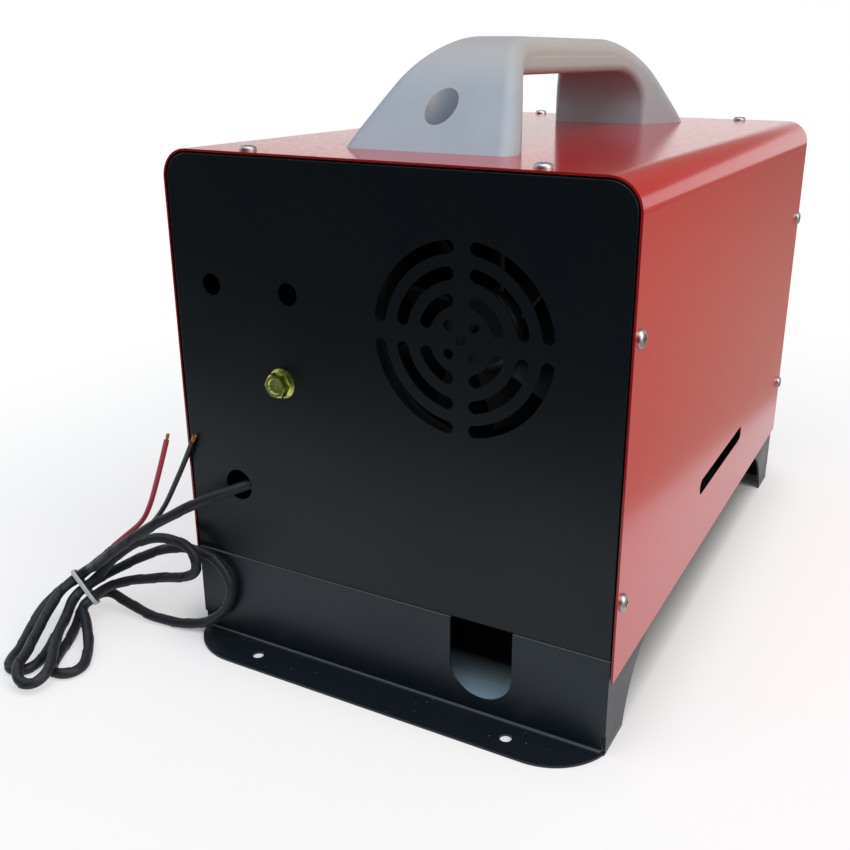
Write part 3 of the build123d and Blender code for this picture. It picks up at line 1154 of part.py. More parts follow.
def make_controller_housing():
    half_width = CONTROLLER_WIDTH / 2
    half_height = CONTROLLER_HEIGHT / 2
    housing = block(CONTROLLER_X - half_width, CONTROLLER_X + half_width, BEZEL_REAR, BEZEL_FRONT,
                    CONTROLLER_Z - half_height, CONTROLLER_Z + half_height)
    housing = fillet(housing.edges().filter_by(Axis.Y), 6)
    housing = fillet(housing.edges().group_by(Axis.Y)[-1], 1.5)
    wall = CONTROLLER_WALL
    housing -= block(CONTROLLER_X - half_width + wall, CONTROLLER_X + half_width - wall,
                     BEZEL_REAR - 1, BEZEL_FRONT - wall,
                     CONTROLLER_Z - half_height + wall, CONTROLLER_Z + half_height - wall)
    housing -= block(CONTROLLER_X - LENS_WIDTH / 2, CONTROLLER_X + LENS_WIDTH / 2,
                     BEZEL_FRONT - wall - 1, BEZEL_FRONT + 1,
                     LENS_Z - LENS_HEIGHT / 2, LENS_Z + LENS_HEIGHT / 2)
    for x in button_places():
        housing -= rod_y(BUTTON_RADIUS + SLIP_GAP, x, BUTTON_Z, BEZEL_FRONT - wall - 1, BEZEL_FRONT + 1)
    return housing


def make_controller_board():
    """Circuit board with the display module, four switches and the spacers behind it."""
    half_width = CONTROLLER_WIDTH / 2 - CONTROLLER_WALL - SLIP_GAP
    half_height = CONTROLLER_HEIGHT / 2 - CONTROLLER_WALL - SLIP_GAP
    left, right = CONTROLLER_X - half_width, CONTROLLER_X + half_width
    board = block(left, right, BOARD_FRONT - BOARD_SHEET, BOARD_FRONT,
                  CONTROLLER_Z - half_height, CONTROLLER_Z + half_height)
    display_front = BEZEL_FRONT - LENS_SHEET - SLIP_GAP - 0.1
    board += block(CONTROLLER_X - LENS_WIDTH / 2 + 1, CONTROLLER_X + LENS_WIDTH / 2 - 1, BOARD_FRONT - 0.5,
                   display_front, LENS_Z - LENS_HEIGHT / 2 + 1, LENS_Z + LENS_HEIGHT / 2 - 1)
    for x in button_places():
        switch = Box(6, SWITCH_HEIGHT + 0.5, 6)
        board += Pos(x, BOARD_FRONT + (SWITCH_HEIGHT - 0.5) / 2, BUTTON_Z) * switch
    return board


def make_display_lens():
    gap = 0.15
    return block(CONTROLLER_X - LENS_WIDTH / 2 + gap, CONTROLLER_X + LENS_WIDTH / 2 - gap,
                 BEZEL_FRONT - LENS_SHEET - 0.1, BEZEL_FRONT - 0.1,
                 LENS_Z - LENS_HEIGHT / 2 + gap, LENS_Z + LENS_HEIGHT / 2 - gap)


def make_button(x):
    wall_back = BEZEL_FRONT - CONTROLLER_WALL
    front = BEZEL_FRONT + 1.5
    button = rod_y(BUTTON_RADIUS, x, BUTTON_Z, wall_back - 1, front)
    button = fillet(button.edges().group_by(Axis.Y)[-1], 0.6)
    button += rod_y(BUTTON_RADIUS + 1.4, x, BUTTON_Z, wall_back - SLIP_GAP - 1.3, wall_back - SLIP_GAP)
    stem_end = BOARD_FRONT + SWITCH_HEIGHT + BUTTON_TRAVEL + 0.1
    return button + rod_y(2, x, BUTTON_Z, stem_end, wall_back - 1)


# ---- power cable --------------------------------------------------------
def placed(points):
    return [Vector(point) + Vector(ROUTE_SHIFT) for point in points]


def loom_points():
    """Route of the inner cable from the clamp to the control unit."""
    start = placed(LEAD_ROUTE)[0] + Vector(BORE_GAP, 0, 0)
    x, y, z = start
    rise_y = (MOTOR_REAR + MOTOR_FRONT) / 2 + 2
    end_x = HEATER_X - CONTROL_HALF - 0.5
    return [start, (x + 19.9, y, z), (LINE_X, y + 5, z + 38), (LINE_X, y + 40, z + 123),
            (LINE_X, rise_y, z + 142), (end_x, rise_y, z + 150)]


def make_lead_clamp():
    """Nylon saddle inside the rear panel that holds the cable beside its hole."""
    x1, y, z = placed(LEAD_ROUTE)[0]
    saddle = block(x1 - CLAMP_LENGTH, x1, REAR_Y + PANEL_SHEET, y + CLAMP_HALF,
                   z - CLAMP_HALF, z + CLAMP_HALF)
    return saddle - rod_x(CABLE_RADIUS + BORE_GAP + SLIP_GAP, y, z, x1 - CLAMP_LENGTH - 1, x1 + 1)


def wire_route(side, points):
    """Route of one wire, starting straight out of the end of the tape."""
    end, before = placed(HANK_ROUTE)[-1], placed(HANK_ROUTE)[-2]
    along = (end - before).normalized()
    start = end + Vector(WIRE_OFFSET) * side + along * BORE_GAP
    return [start, start + along * 13] + placed(points)


def make_cable(name, points, radius, radii=None):
    radii = radii or corner_radii(points)
    path = route(points, radii)
    solid = tube(path, radius)
    report_tube(name, path, solid, radius, radii)
    write(name, solid)
    return path


def make_cable_tie():
    """Strap round the six runs of the hank, with its square head on one side."""
    plane = Plane(origin=placed([TIE_CENTRE])[0], x_dir=TIE_TALL, z_dir=TIE_AXIS)
    half_tall = TIE_HALF_TALL + CABLE_RADIUS + TIE_ROOM
    half_deep = TIE_HALF_DEEP + CABLE_RADIUS + TIE_ROOM
    corner = CABLE_RADIUS + TIE_ROOM / 2
    strap = RectangleRounded(2 * (half_tall + TIE_SHEET), 2 * (half_deep + TIE_SHEET), corner + TIE_SHEET)
    strap -= RectangleRounded(2 * half_tall, 2 * half_deep, corner)
    tie = extrude(plane * Pos(0, 0, -TIE_WIDTH / 2) * strap, amount=TIE_WIDTH)
    head = plane * Pos(-half_tall - 2 * TIE_SHEET, 0, 0) * Box(*TIE_HEAD)
    return tie + head


def make_wire_ends():
    ends = []
    for points in (placed(RED_ROUTE), placed(BLACK_ROUTE)):
        start = points[-1]
        along = (start - points[-2]).normalized()
        plane = Plane(origin=start, z_dir=along)
        ends.append(extrude(plane * Circle(COPPER_RADIUS), amount=COPPER_LENGTH))
    return group(ends)


# ---- build --------------------------------------------------------------
def main():
    exhaust_x, intake_x = port_places()[1], port_places()[0]
    plain = {
        "base_stand": make_base_stand, "rear_panel": make_rear_panel, "front_panel": make_front_panel,
        "cover_shell": make_cover_shell, "cover_screws": make_cover_screws,
        "carry_handle": make_carry_handle,
        "handle_bolts": make_handle_bolts, "handle_nuts": make_handle_nuts,
        "inner_screws": make_inner_screws, "heater_bracket": make_heater_bracket,
        "mounting_gasket": make_mounting_gasket, "lower_case": make_lower_case,
        "upper_case": make_upper_case, "heat_exchanger": make_heat_exchanger, "burner": make_burner,
        "burner_gasket": make_burner_gasket, "burner_bolts": make_burner_bolts,
        "glow_plug": make_glow_plug, "fan_housing": make_fan_housing, "motor_body": make_motor_body,
        "motor_bearings": make_motor_bearings, "blower_shaft": make_blower_shaft,
        "rotor_magnet": make_rotor_magnet, "hot_air_impeller": make_hot_air_impeller,
        "combustion_impeller": make_combustion_impeller, "control_unit": make_control_unit,
        "overheat_sensor": make_overheat_sensor, "outlet_nozzle": make_outlet_nozzle,
        "outlet_duct": make_outlet_duct, "outlet_collar": make_outlet_collar,
        "outlet_louvre": make_outlet_louvre, "fuel_tank": make_fuel_tank,
        "filler_neck": make_filler_neck, "filler_grommet": make_filler_grommet,
        "cap_seal": make_cap_seal, "filler_cap": make_filler_cap, "tank_strap": make_tank_strap,
        "fuel_pickup": make_fuel_pickup, "fuel_pump": make_fuel_pump, "pump_mount": make_pump_mount,
        "pump_bolt": make_pump_bolt, "fuel_inlet": make_fuel_inlet, "fuel_hoses": make_fuel_hoses,
        "controller_housing": make_controller_housing, "controller_board": make_controller_board,
        "display_lens": make_display_lens, "lead_clamp": make_lead_clamp,
        "cable_tie": make_cable_tie, "wire_ends": make_wire_ends,
    }
    for name, make in plain.items():
        write(name, make())
    write("exhaust_pipe", make_pipe(exhaust_x))
    write("intake_pipe", make_pipe(intake_x))
    for name, x in zip(BUTTON_NAMES, button_places()):
        write(name, make_button(x))
    make_cable("power_lead", placed(LEAD_ROUTE), CABLE_RADIUS)
    hank_path = make_cable("power_lead_hank", placed(HANK_ROUTE), CABLE_RADIUS)
    print("  least gap of the hank to itself", round(least_gap(hank_path, CABLE_RADIUS, 24), 2))
    make_cable("wire_red", wire_route(1, RED_ROUTE), WIRE_RADIUS)
    make_cable("wire_black", wire_route(-1, BLACK_ROUTE), WIRE_RADIUS)
    make_cable("inner_loom", loom_points(), LOOM_RADIUS, LOOM_RADII)


main()
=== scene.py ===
"""Looks of a portable diesel air heater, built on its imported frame. Lengths are in metres, or in
millimetres where a comment says so."""

from functools import partial
from math import cos, pi, radians, sin

import bmesh
import bpy
from bpy.props import FloatProperty, FloatVectorProperty, PointerProperty
from mathutils import Matrix, Vector


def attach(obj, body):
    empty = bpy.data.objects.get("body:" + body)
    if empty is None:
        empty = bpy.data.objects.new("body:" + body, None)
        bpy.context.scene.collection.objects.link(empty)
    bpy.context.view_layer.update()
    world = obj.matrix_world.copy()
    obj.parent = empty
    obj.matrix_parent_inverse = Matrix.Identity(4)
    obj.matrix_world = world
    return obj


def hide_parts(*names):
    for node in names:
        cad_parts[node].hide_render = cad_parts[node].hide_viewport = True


bl_info = {
    "name": "Diesel air heater looks",
    "version": (1, 0, 0),
    "blender": (4, 5, 0),
    "location": "3D View > Sidebar > Heater",
    "description": "Dresses the frame of a portable diesel air heater",
    "category": "Object",
}

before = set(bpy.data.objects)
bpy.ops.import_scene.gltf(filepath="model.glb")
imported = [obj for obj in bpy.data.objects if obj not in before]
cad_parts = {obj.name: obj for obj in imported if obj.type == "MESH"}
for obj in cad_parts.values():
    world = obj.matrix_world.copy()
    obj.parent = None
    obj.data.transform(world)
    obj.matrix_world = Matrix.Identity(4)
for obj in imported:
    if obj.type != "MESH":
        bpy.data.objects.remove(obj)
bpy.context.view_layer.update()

MM = 0.001

# The photograph's camera.
PHOTO_WIDTH = 850  # pixels, and as high
FOCAL_LENGTH = 993.1  # pixels
PRINCIPAL_POINT = (460.15, 402.32)  # pixels, from the top left corner
CAMERA_PLACE = (0.27437, -0.64837, 0.36215)
CAMERA_YAW, CAMERA_PITCH, CAMERA_ROLL = 27.4, -19.46, 0.33  # degrees

# Routes of the cable and its wires, in millimetres.
CABLE_EXIT = (-56, -205, 112)
CABLE_POINTS = [
    CABLE_EXIT, (-92, -205, 112), (-112, -226, 106), (-137, -238, 92.5), (-160, -246, 77),
    (-182, -249, 60), (-203, -246, 43), (-216.5, -239.5, 34.5),
    (-225.5, -252.5, 26.5), (-222.5, -267, 21), (-214, -287.5, 14), (-203, -304.5, 12.5),
    (-197, -318, 11.5), (-188, -324.5, 7), (-179, -320.5, 6.5), (-177.5, -311, 10), (-188, -298, 13),
    (-202, -282.5, 12.5), (-211.5, -264.5, 15.5), (-219.5, -252.5, 20), (-211, -239, 28),
    (-198, -235.5, 45), (-179, -230, 60), (-159, -228, 67), (-140, -228, 67), (-131.5, -228, 60),
    (-131.5, -228, 49.5), (-140, -228, 42.5), (-156, -228, 38.5), (-176, -230, 33), (-194, -234, 28),
    (-205.5, -239, 22), (-214, -252.5, 13.5), (-198, -262, 10.5), (-183, -275.5, 4.5), (-172, -289, 3.5),
    (-172, -299, 3.5), (-179.5, -304.5, 3.5), (-188.5, -301.5, 3.5), (-197, -284.5, 3.5), (-207, -265, 3.5),
    (-219.5, -246.5, 9.5), (-210.5, -233, 17.5), (-196, -230, 10.5), (-177, -229, 4.5),
    (-156, -226.5, 3.5), (-137, -222, 5.5), (-120, -220, 17), (-111, -219.5, 34), (-115, -219.5, 50),
    (-129, -219.5, 59), (-151, -219.5, 58), (-173, -220, 50), (-194, -224, 38), (-216.5, -233.5, 24),
    (-225, -247, 16), (-218.5, -261, 9), (-211.5, -277.5, 3.5), (-203.5, -291.5, 3.5), (-198, -302.5, 3.5),
    (-200.5, -311.5, 3.5), (-209.5, -314.5, 3.5), (-217, -307, 3.5), (-223, -293.5, 3.5),
    (-232, -278, 7), (-234, -261, 17), (-230.5, -247, 22), (-222, -233.5, 30.5), (-206, -225, 46),
]
WIRE_OFFSET = (-0.985, -0.535, 1.31)  # from the middle of the tape's end to the red wire
RED_POINTS = [(-184, -219, 68), (-175.5, -219, 82), (-169, -219, 97), (-162.5, -219, 113),
              (-155.5, -219, 131)]
BLACK_POINTS = [(-179, -218.5, 65), (-164, -218.5, 82), (-152.5, -218, 102), (-142, -217.5, 121),
                (-136, -217.2, 133)]
TIE_CENTRE = (-218.0, -243.0, 22.0)
TIE_AXIS = (0.479, 0.751, 0.455)  # the way the cable runs through the tie
TIE_TALL = (-0.656, -0.039, 0.755)

# Places on the object that finishes follow, in millimetres.
CASE_MIDDLE = 180.0  # height of the line that the cover's outside faces away from
STAND_TOP = 60.0
FOOT_TOP = 2.4  # top of the stand's flanges
PARTING_LINE = 359.3  # where the two halves of the handle's mould met
GRIP_LOW, GRIP_HIGH = 340.0, 364.0
HANDLE_MIDDLE, GRIP_REACH = 8.0, 70.0  # along the handle
TAPE_LAP = 22.0  # from one overlap of the tape to the next

# Sockets that go by number, because two of a node's sockets share a name.
VALUE, LOW, HIGH, TO_LOW, TO_HIGH = range(5)  # Map Range
FACTOR, FIRST, SECOND = 0, 6, 7  # Mix of two colours

# Cards that only show in gloss, by their corners.
CARD_LIFT = 0.0006  # of a card that lies on the floor
PALE_CARDS = {
    "right_card": [(0.30, -0.5, CARD_LIFT), (6, -0.5, CARD_LIFT), (6, 6, CARD_LIFT),
                   (0.175, 6, CARD_LIFT), (0.175, 0.45, CARD_LIFT)],
    "back_card": [(-6, 3.2, 0.85), (6, 3.2, 0.85), (6, 3.2, 4.5), (-6, 3.2, 4.5)],
}
DARK_CARDS = {
    "front_card": [(-6, -3.4, CARD_LIFT), (6, -3.4, CARD_LIFT), (6, -0.54, CARD_LIFT),
                   (-6, -0.54, CARD_LIFT)],
    "front_screen": [(-6, -3.5, 0), (3, -3.5, 0), (3, -3.5, 4.5), (-6, -3.5, 4.5)],
}
LAMP_AIM = (0.0, 0.0, 0.15)


# ---- colour and nodes -------------------------------
def linear(colour):
    """An sRGB hex colour as linear red, green and blue."""
    parts = [int(colour[start:start + 2], 16) / 255 for start in (1, 3, 5)]
    return tuple(part / 12.92 if part <= 0.04045 else ((part + 0.055) / 1.055) ** 2.4 for part in parts)


def output_of(value):
    """An output as it is, and a node's first output that is in use."""
    if isinstance(value, bpy.types.Node):
        return next(output for output in value.outputs if output.enabled)
    return value


def add_node(tree, kind, inputs=None, **settings):
    """Adds a shader node. Each input, by name or number, gets a value, an sRGB hex colour, or an
    output or node that it is linked to."""
    node = tree.nodes.new("ShaderNode" + kind)
    for name, value in settings.items():
        setattr(node, name, value)
    for socket, value in (inputs or {}).items():
        if isinstance(value, (bpy.types.Node, bpy.types.NodeSocket)):
            tree.links.new(output_of(value), node.inputs[socket])
        else:
            node.inputs[socket].default_value = (*linear(value), 1.0) if isinstance(value, str) else value
    return node


def cleared_tree(owner):
    """The node tree of a material or world, emptied."""
    owner.use_nodes = True
    owner.node_tree.nodes.clear()
    return owner.node_tree


class Finish:
    """A material being made: its nodes, its shader, and places on the object in millimetres."""

    def __init__(self, name, colour, roughness, metallic=0.0, **sockets):
        self.material = bpy.data.materials.new(name)
        self.tree = cleared_tree(self.material)
        self.node = partial(add_node, self.tree)
        self.colour = (*(linear(colour) if isinstance(colour, str) else colour), 1.0)
        values = {"Base Color": self.colour, "Roughness": roughness, "Metallic": metallic}
        values.update({socket.replace("_", " "): value for socket, value in sockets.items()})
        self.shader = self.node("BsdfPrincipled", values)
        self.node("OutputMaterial", {"Surface": self.shader})
        spot = self.node("TexCoord").outputs["Object"]
        self.place = self.node("Mapping", {"Vector": spot, "Scale": (1 / MM, 1 / MM, 1 / MM)})

    def link(self, socket, node):
        """Links a node to an input of the shader."""
        self.tree.links.new(output_of(node), self.shader.inputs[socket])


# ---- finishes ---------------------------------------
# Each pattern's Scale is 1 over its size in millimetres. Bump distances are in metres.
def red_powder_coat(looks):
    # Polyester powder, sprayed and baked on folded steel: a deep gloss with faint orange peel,
    # about 2.4 mm across, and fine grit under the gloss that glitters at a grazing look. The cut ends
    # of the sheet carry painted shade, and the inside of the case a darker painted shade.
    finish = Finish("red_powder_coat", looks.cover, roughness=0.14)
    node, place = finish.node, finish.place
    peel = node("TexNoise", {"Vector": place, "Scale": 1 / 2.4, "Detail": 1.0})
    grit = node("TexVoronoi", {"Vector": place, "Scale": 1 / 1.3})
    spots = node("MapRange", {VALUE: grit, LOW: 0.06, HIGH: 0.22, TO_LOW: 1.0, TO_HIGH: 0.0})
    from_middle = node("VectorMath", {0: place, 1: (1, 0, 1), 2: (0, 0, -CASE_MIDDLE)},
                       operation="MULTIPLY_ADD")
    facing = node("NewGeometry").outputs["Normal"]
    outward = node("VectorMath", {0: from_middle, 1: facing}, operation="DOT_PRODUCT")
    # Painted shade: dark on faces that look into the case, about half as dark on the sheet's cut ends.
    unshaded_outside = node("MapRange", {VALUE: outward, LOW: -12, HIGH: 12})
    coat = node("Mix", {FACTOR: spots, FIRST: finish.colour, SECOND: "#B82C2A"}, data_type="RGBA")
    shaded = node("Mix", {FACTOR: unshaded_outside, FIRST: "#1C0607", SECOND: coat}, data_type="RGBA")
    finish.link("Base Color", shaded)
    finish.link("Roughness", node("MapRange", {VALUE: peel, LOW: 0.3, HIGH: 0.7,
                                               TO_LOW: 0.12, TO_HIGH: 0.17}))
    bump = node("Bump", {"Height": peel, "Distance": 0.01 * MM, "Strength": 0.5})
    grained = node("Bump", {"Height": spots, "Distance": 0.02 * MM, "Strength": 0.5, "Normal": bump})
    finish.link("Normal", grained)
    return finish.material


def black_powder_coat(looks):
    # Fine-texture polyester powder on folded steel: satin black, with a grain about 0.9 mm across
    # that spreads the light into a soft grey haze.
    finish = Finish("black_powder_coat", looks.panel, roughness=0.34, Specular_IOR_Level=0.31,
                    Specular_Tint=(0.80, 0.92, 1.0, 1.0))
    node, place = finish.node, finish.place
    grain = node("TexNoise", {"Vector": place, "Scale": 1 / 0.9, "Detail": 2.0})
    drift = node("TexNoise", {"Vector": place, "Scale": 1 / 70, "Detail": 3.0})
    finish.link("Base Color", node("Mix", {FACTOR: drift, FIRST: finish.colour, SECOND: "#090D10"},
                                   data_type="RGBA"))
    finish.link("Roughness", node("MapRange", {VALUE: drift, LOW: 0.3, HIGH: 0.7,
                                               TO_LOW: 0.31, TO_HIGH: 0.38}))
    finish.link("Normal", node("Bump", {"Height": grain, "Distance": 0.04 * MM, "Strength": 0.5}))
    return finish.material


def stand_powder_coat(looks):
    # The same black powder on the stand, which has gathered dust on its flat parts: scattered pale
    # specks about 0.6 mm across. Grey lines along the bends are painted highlights.
    finish = Finish("stand_powder_coat", looks.stand, roughness=0.38, Specular_IOR_Level=0.45,
                    Specular_Tint=(0.80, 0.92, 1.0, 1.0))
    node, place = finish.node, finish.place
    grain = node("TexNoise", {"Vector": place, "Scale": 1 / 0.9, "Detail": 2.0})
    cells = node("TexVoronoi", {"Vector": place, "Scale": 1 / 5.0})
    specks = node("MapRange", {VALUE: cells, LOW: 0.03, HIGH: 0.06, TO_LOW: 0.7, TO_HIGH: 0.0})
    facing = node("SeparateXYZ", {0: node("NewGeometry").outputs["Normal"]})
    flat = node("MapRange", {VALUE: facing.outputs["Z"], LOW: 0.4, HIGH: 0.9})
    dust = node("Math", {0: specks, 1: flat}, operation="MULTIPLY")
    drift = node("TexNoise", {"Vector": place, "Scale": 1 / 45, "Detail": 4.0})
    coat = node("Mix", {FACTOR: drift, FIRST: finish.colour, SECOND: "#0C1217"}, data_type="RGBA")
    height = node("SeparateXYZ", {0: place}).outputs["Z"]
    # Painted highlights: grey lines along the top bend and along the foot bend.
    upper_bend_highlight = node("MapRange", {VALUE: height, LOW: STAND_TOP - 1.1, HIGH: STAND_TOP - 0.5})
    foot_bend_highlight = node("Math", {0: height, 1: FOOT_TOP, 2: 0.5}, operation="COMPARE")
    bend_highlights = node("Math", {0: upper_bend_highlight, 1: foot_bend_highlight}, operation="MAXIMUM")
    highlighted = node("Mix", {FACTOR: bend_highlights, FIRST: coat, SECOND: "#4E5453"}, data_type="RGBA")
    finish.link("Base Color", node("Mix", {FACTOR: dust, FIRST: highlighted, SECOND: "#B9BEC2"},
                                   data_type="RGBA"))
    finish.link("Roughness", node("MapRange", {VALUE: drift, LOW: 0.3, HIGH: 0.7,
                                               TO_LOW: 0.34, TO_HIGH: 0.44}))
    finish.link("Normal", node("Bump", {"Height": grain, "Distance": 0.04 * MM, "Strength": 0.5}))
    return finish.material


def moulded_polypropylene(looks):
    # Grey polypropylene, injection moulded in a spark-eroded tool: a fine matte grain about 0.8 mm
    # across, light that sinks in a little, faint flow marks and a few scuffs. The tool parts 11.7 mm
    # below the top of the grip and leaves a fine line along its sides. The grip is painted paler and
    # warmer towards its top, as painted light.
    finish = Finish("moulded_polypropylene", looks.handle, roughness=0.48, Subsurface_Weight=0.12,
                    Subsurface_Radius=(0.004, 0.004, 0.004), Subsurface_Scale=1.0)
    node, place = finish.node, finish.place
    grain = node("TexNoise", {"Vector": place, "Scale": 1 / 0.8, "Detail": 2.0})
    flow = node("TexNoise", {"Vector": place, "Scale": 1 / 40, "Detail": 3.0, "Distortion": 0.8})
    cells = node("TexVoronoi", {"Vector": place, "Scale": 1 / 16.0})
    scuffs = node("MapRange", {VALUE: cells, LOW: 0.025, HIGH: 0.05, TO_LOW: 0.7, TO_HIGH: 0.0})
    tone = node("Mix", {FACTOR: flow, FIRST: finish.colour, SECOND: "#8D96A0"}, data_type="RGBA")
    spot = node("SeparateXYZ", {0: place})
    height = node("Math", {0: spot.outputs["Z"], 1: PARTING_LINE, 2: 0.35}, operation="COMPARE")
    reach = node("Math", {0: spot.outputs["Y"], 1: HANDLE_MIDDLE, 2: GRIP_REACH}, operation="COMPARE")
    parting = node("Math", {0: height, 1: reach}, operation="MULTIPLY")
    # Painted light: the grip turns paler and warmer towards its top.
    grip_top_light = node("MapRange", {VALUE: spot.outputs["Z"], LOW: GRIP_LOW, HIGH: GRIP_HIGH,
                             TO_LOW: 0.0, TO_HIGH: 0.6})
    top_lit = node("Mix", {FACTOR: grip_top_light, FIRST: tone, SECOND: "#A9A59F"}, data_type="RGBA")
    worn = node("Mix", {FACTOR: scuffs, FIRST: top_lit, SECOND: "#5A5C60"}, data_type="RGBA")
    finish.link("Base Color", node("Mix", {FACTOR: parting, FIRST: worn, SECOND: "#AEACA6"},
                                   data_type="RGBA"))
    finish.link("Normal", node("Bump", {"Height": grain, "Distance": 0.04 * MM, "Strength": 0.6}))
    return finish.material


def plated_metal(name, colour, second, roughness, grain, patches=None):
    """Bright metal, cloudy in its gloss, with marks of its working. The second tone lies in the same
    clouds, or in patches of its own. grain and patches are in millimetres."""
    finish = Finish(name, colour, roughness, metallic=1.0)
    node, place = finish.node, finish.place
    clouds = node("TexNoise", {"Vector": place, "Scale": 1 / 6.0, "Detail": 4.0})
    marks = node("TexNoise", {"Vector": place, "Scale": 1 / grain, "Detail": 3.0})
    tones = clouds
    if patches:
        tones = node("TexNoise", {"Vector": place, "Scale": 1 / patches, "Detail": 2.0})
    finish.link("Base Color", node("Mix", {FACTOR: tones, FIRST: finish.colour, SECOND: second},
                                   data_type="RGBA"))
    finish.link("Roughness", node("MapRange", {VALUE: clouds, LOW: 0.3, HIGH: 0.7,
                                               TO_LOW: roughness - 0.06, TO_HIGH: roughness + 0.08}))
    finish.link("Normal", node("Bump", {"Height": marks, "Distance": 0.02 * MM, "Strength": 0.5}))
    return finish.material


def zinc_plated_steel(looks):
    # Pressed steel screws, barrel plated with zinc: bluish grey, softly bright, with small knocks.
    return plated_metal("zinc_plated_steel", "#C4C7CA", "#8C9094", 0.40, 0.8)


def yellow_passivated_zinc(looks):
    # Steel bolt, zinc plated and dipped in yellow chromate: gold that runs to green and olive in
    # patches a few millimetres wide.
    finish = Finish("yellow_passivated_zinc", "#CBCB6C", roughness=0.27, metallic=1.0)
    node, place = finish.node, finish.place
    hue = node("TexNoise", {"Vector": place, "Scale": 1 / 5.0, "Detail": 2.0})
    green = node("MapRange", {VALUE: hue, LOW: 0.40, HIGH: 0.60})
    marks = node("TexNoise", {"Vector": place, "Scale": 1 / 0.7, "Detail": 3.0})
    finish.link("Base Color", node("Mix", {FACTOR: green, FIRST: finish.colour, SECOND: "#90A35C"},
                                   data_type="RGBA"))
    finish.link("Normal", node("Bump", {"Height": marks, "Distance": 0.02 * MM, "Strength": 0.5}))
    return finish.material


def galvanised_sheet(looks):
    # Hot-dip galvanised sheet: a spangle of zinc crystals about 7 mm across, each with its own grey.
    finish = Finish("galvanised_sheet", "#B4B8BA", roughness=0.38, metallic=1.0)
    node, place = finish.node, finish.place
    spangle = node("TexVoronoi", {"Vector": place, "Scale": 1 / 7.0})
    shade = node("SeparateColor", {0: spangle.outputs["Color"]})
    finish.link("Base Color", node("Mix", {FACTOR: shade.outputs[0], FIRST: "#8F9497", SECOND: "#C6CACC"},
                                   data_type="RGBA"))
    finish.link("Roughness", node("MapRange", {VALUE: shade.outputs[1], TO_LOW: 0.30, TO_HIGH: 0.48}))
    return finish.material


def pressed_fibre(looks):
    # Pressed mineral fibre gasket: matte dark grey felt with pale fibres about 1.5 mm long.
    finish = Finish("pressed_fibre", "#4C4C4A", roughness=0.9)
    node, place = finish.node, finish.place
    fibres = node("TexNoise", {"Vector": place, "Scale": 1 / 1.5, "Detail": 6.0, "Distortion": 1.5})
    finish.link("Base Color", node("Mix", {FACTOR: fibres, FIRST: "#3A3A38", SECOND: "#6E6D69"},
                                   data_type="RGBA"))
    finish.link("Normal", node("Bump", {"Height": fibres, "Distance": 0.2 * MM, "Strength": 0.7}))
    return finish.material


def moulding(name, colour, second, roughness, grain, depth, **sockets):
    """Moulded plastic or rubber with a slow change of tone. grain and its depth are in millimetres."""
    finish = Finish(name, colour, roughness, **sockets)
    node, place = finish.node, finish.place
    fine = node("TexNoise", {"Vector": place, "Scale": 1 / grain, "Detail": 2.0})
    drift = node("TexNoise", {"Vector": place, "Scale": 1 / 35, "Detail": 3.0})
    finish.link("Base Color", node("Mix", {FACTOR: drift, FIRST: finish.colour, SECOND: second},
                                   data_type="RGBA"))
    finish.link("Roughness", node("MapRange", {VALUE: drift, LOW: 0.3, HIGH: 0.7,
                                               TO_LOW: roughness - 0.05, TO_HIGH: roughness + 0.05}))
    finish.link("Normal", node("Bump", {"Height": fine, "Distance": depth * MM, "Strength": 0.6}))
    return finish.material


def glass_filled_nylon(looks):
    # Nylon with short glass fibre, moulded: charcoal, matte, faintly clouded by the fibre.
    return moulding("glass_filled_nylon", "#242528", "#2F3033", 0.58, 1.2, 0.05)


def moulded_fan_nylon(looks):
    # Unfilled black nylon, moulded in a smooth tool: a softer shine than the cases have.
    return moulding("moulded_fan_nylon", "#1D1E20", "#2A2B2E", 0.36, 1.6, 0.03)


def moulded_abs(looks):
    # Black ABS with a fine moulded grain, as on a car's air vent.
    return moulding("moulded_abs", "#161718", "#1F2022", 0.42, 0.7, 0.05)


def polished_abs(looks):
    # Black ABS moulded in a polished tool: almost a mirror, faintly clouded by wiping.
    return moulding("polished_abs", "#0E0F11", "#141518", 0.12, 3.0, 0.004)


def moulded_silicone(looks):
    # Grey silicone keys: matte and slightly dusty.
    return moulding("moulded_silicone", "#6E7174", "#7C7F82", 0.62, 0.6, 0.04)


def moulded_epdm(looks):
    # Black EPDM rubber: matte, with a bloom of grey.
    return moulding("moulded_epdm", "#101010", "#1D1D1D", 0.72, 0.9, 0.06)


def blow_moulded_polyethylene(looks):
    # Natural high-density polyethylene, blow moulded: milky and waxy, light sinks well into it.
    return moulding("blow_moulded_polyethylene", "#E9E7DC", "#DEDBCB", 0.42, 2.5, 0.08,
                    Subsurface_Weight=0.35, Subsurface_Radius=(0.01, 0.009, 0.007), Subsurface_Scale=1.0)


def extruded_polyurethane(looks):
    # Green polyurethane fuel hose, extruded: smooth, glossy and half clear.
    return moulding("extruded_polyurethane", "#5FA36F", "#4E9460", 0.20, 4.0, 0.02, Transmission_Weight=0.25)


def die_cast_aluminium(looks):
    # Pressure die-cast aluminium, as cast: light grey skin with a fine pebbled grain.
    return plated_metal("die_cast_aluminium", "#B5B7B8", "#8E9091", 0.46, 1.1)


def heat_tinted_steel(looks):
    # Steel that has been red hot: straw, bronze and blue tints in patches about 18 mm wide.
    return plated_metal("heat_tinted_steel", "#A08452", "#5F6B86", 0.40, 1.2, patches=18)


def nickel_plated_steel(looks):
    # Nickel plate on turned steel: bright, a little yellow.
    return plated_metal("nickel_plated_steel", "#CFCBC2", "#A9A59C", 0.18, 0.6)


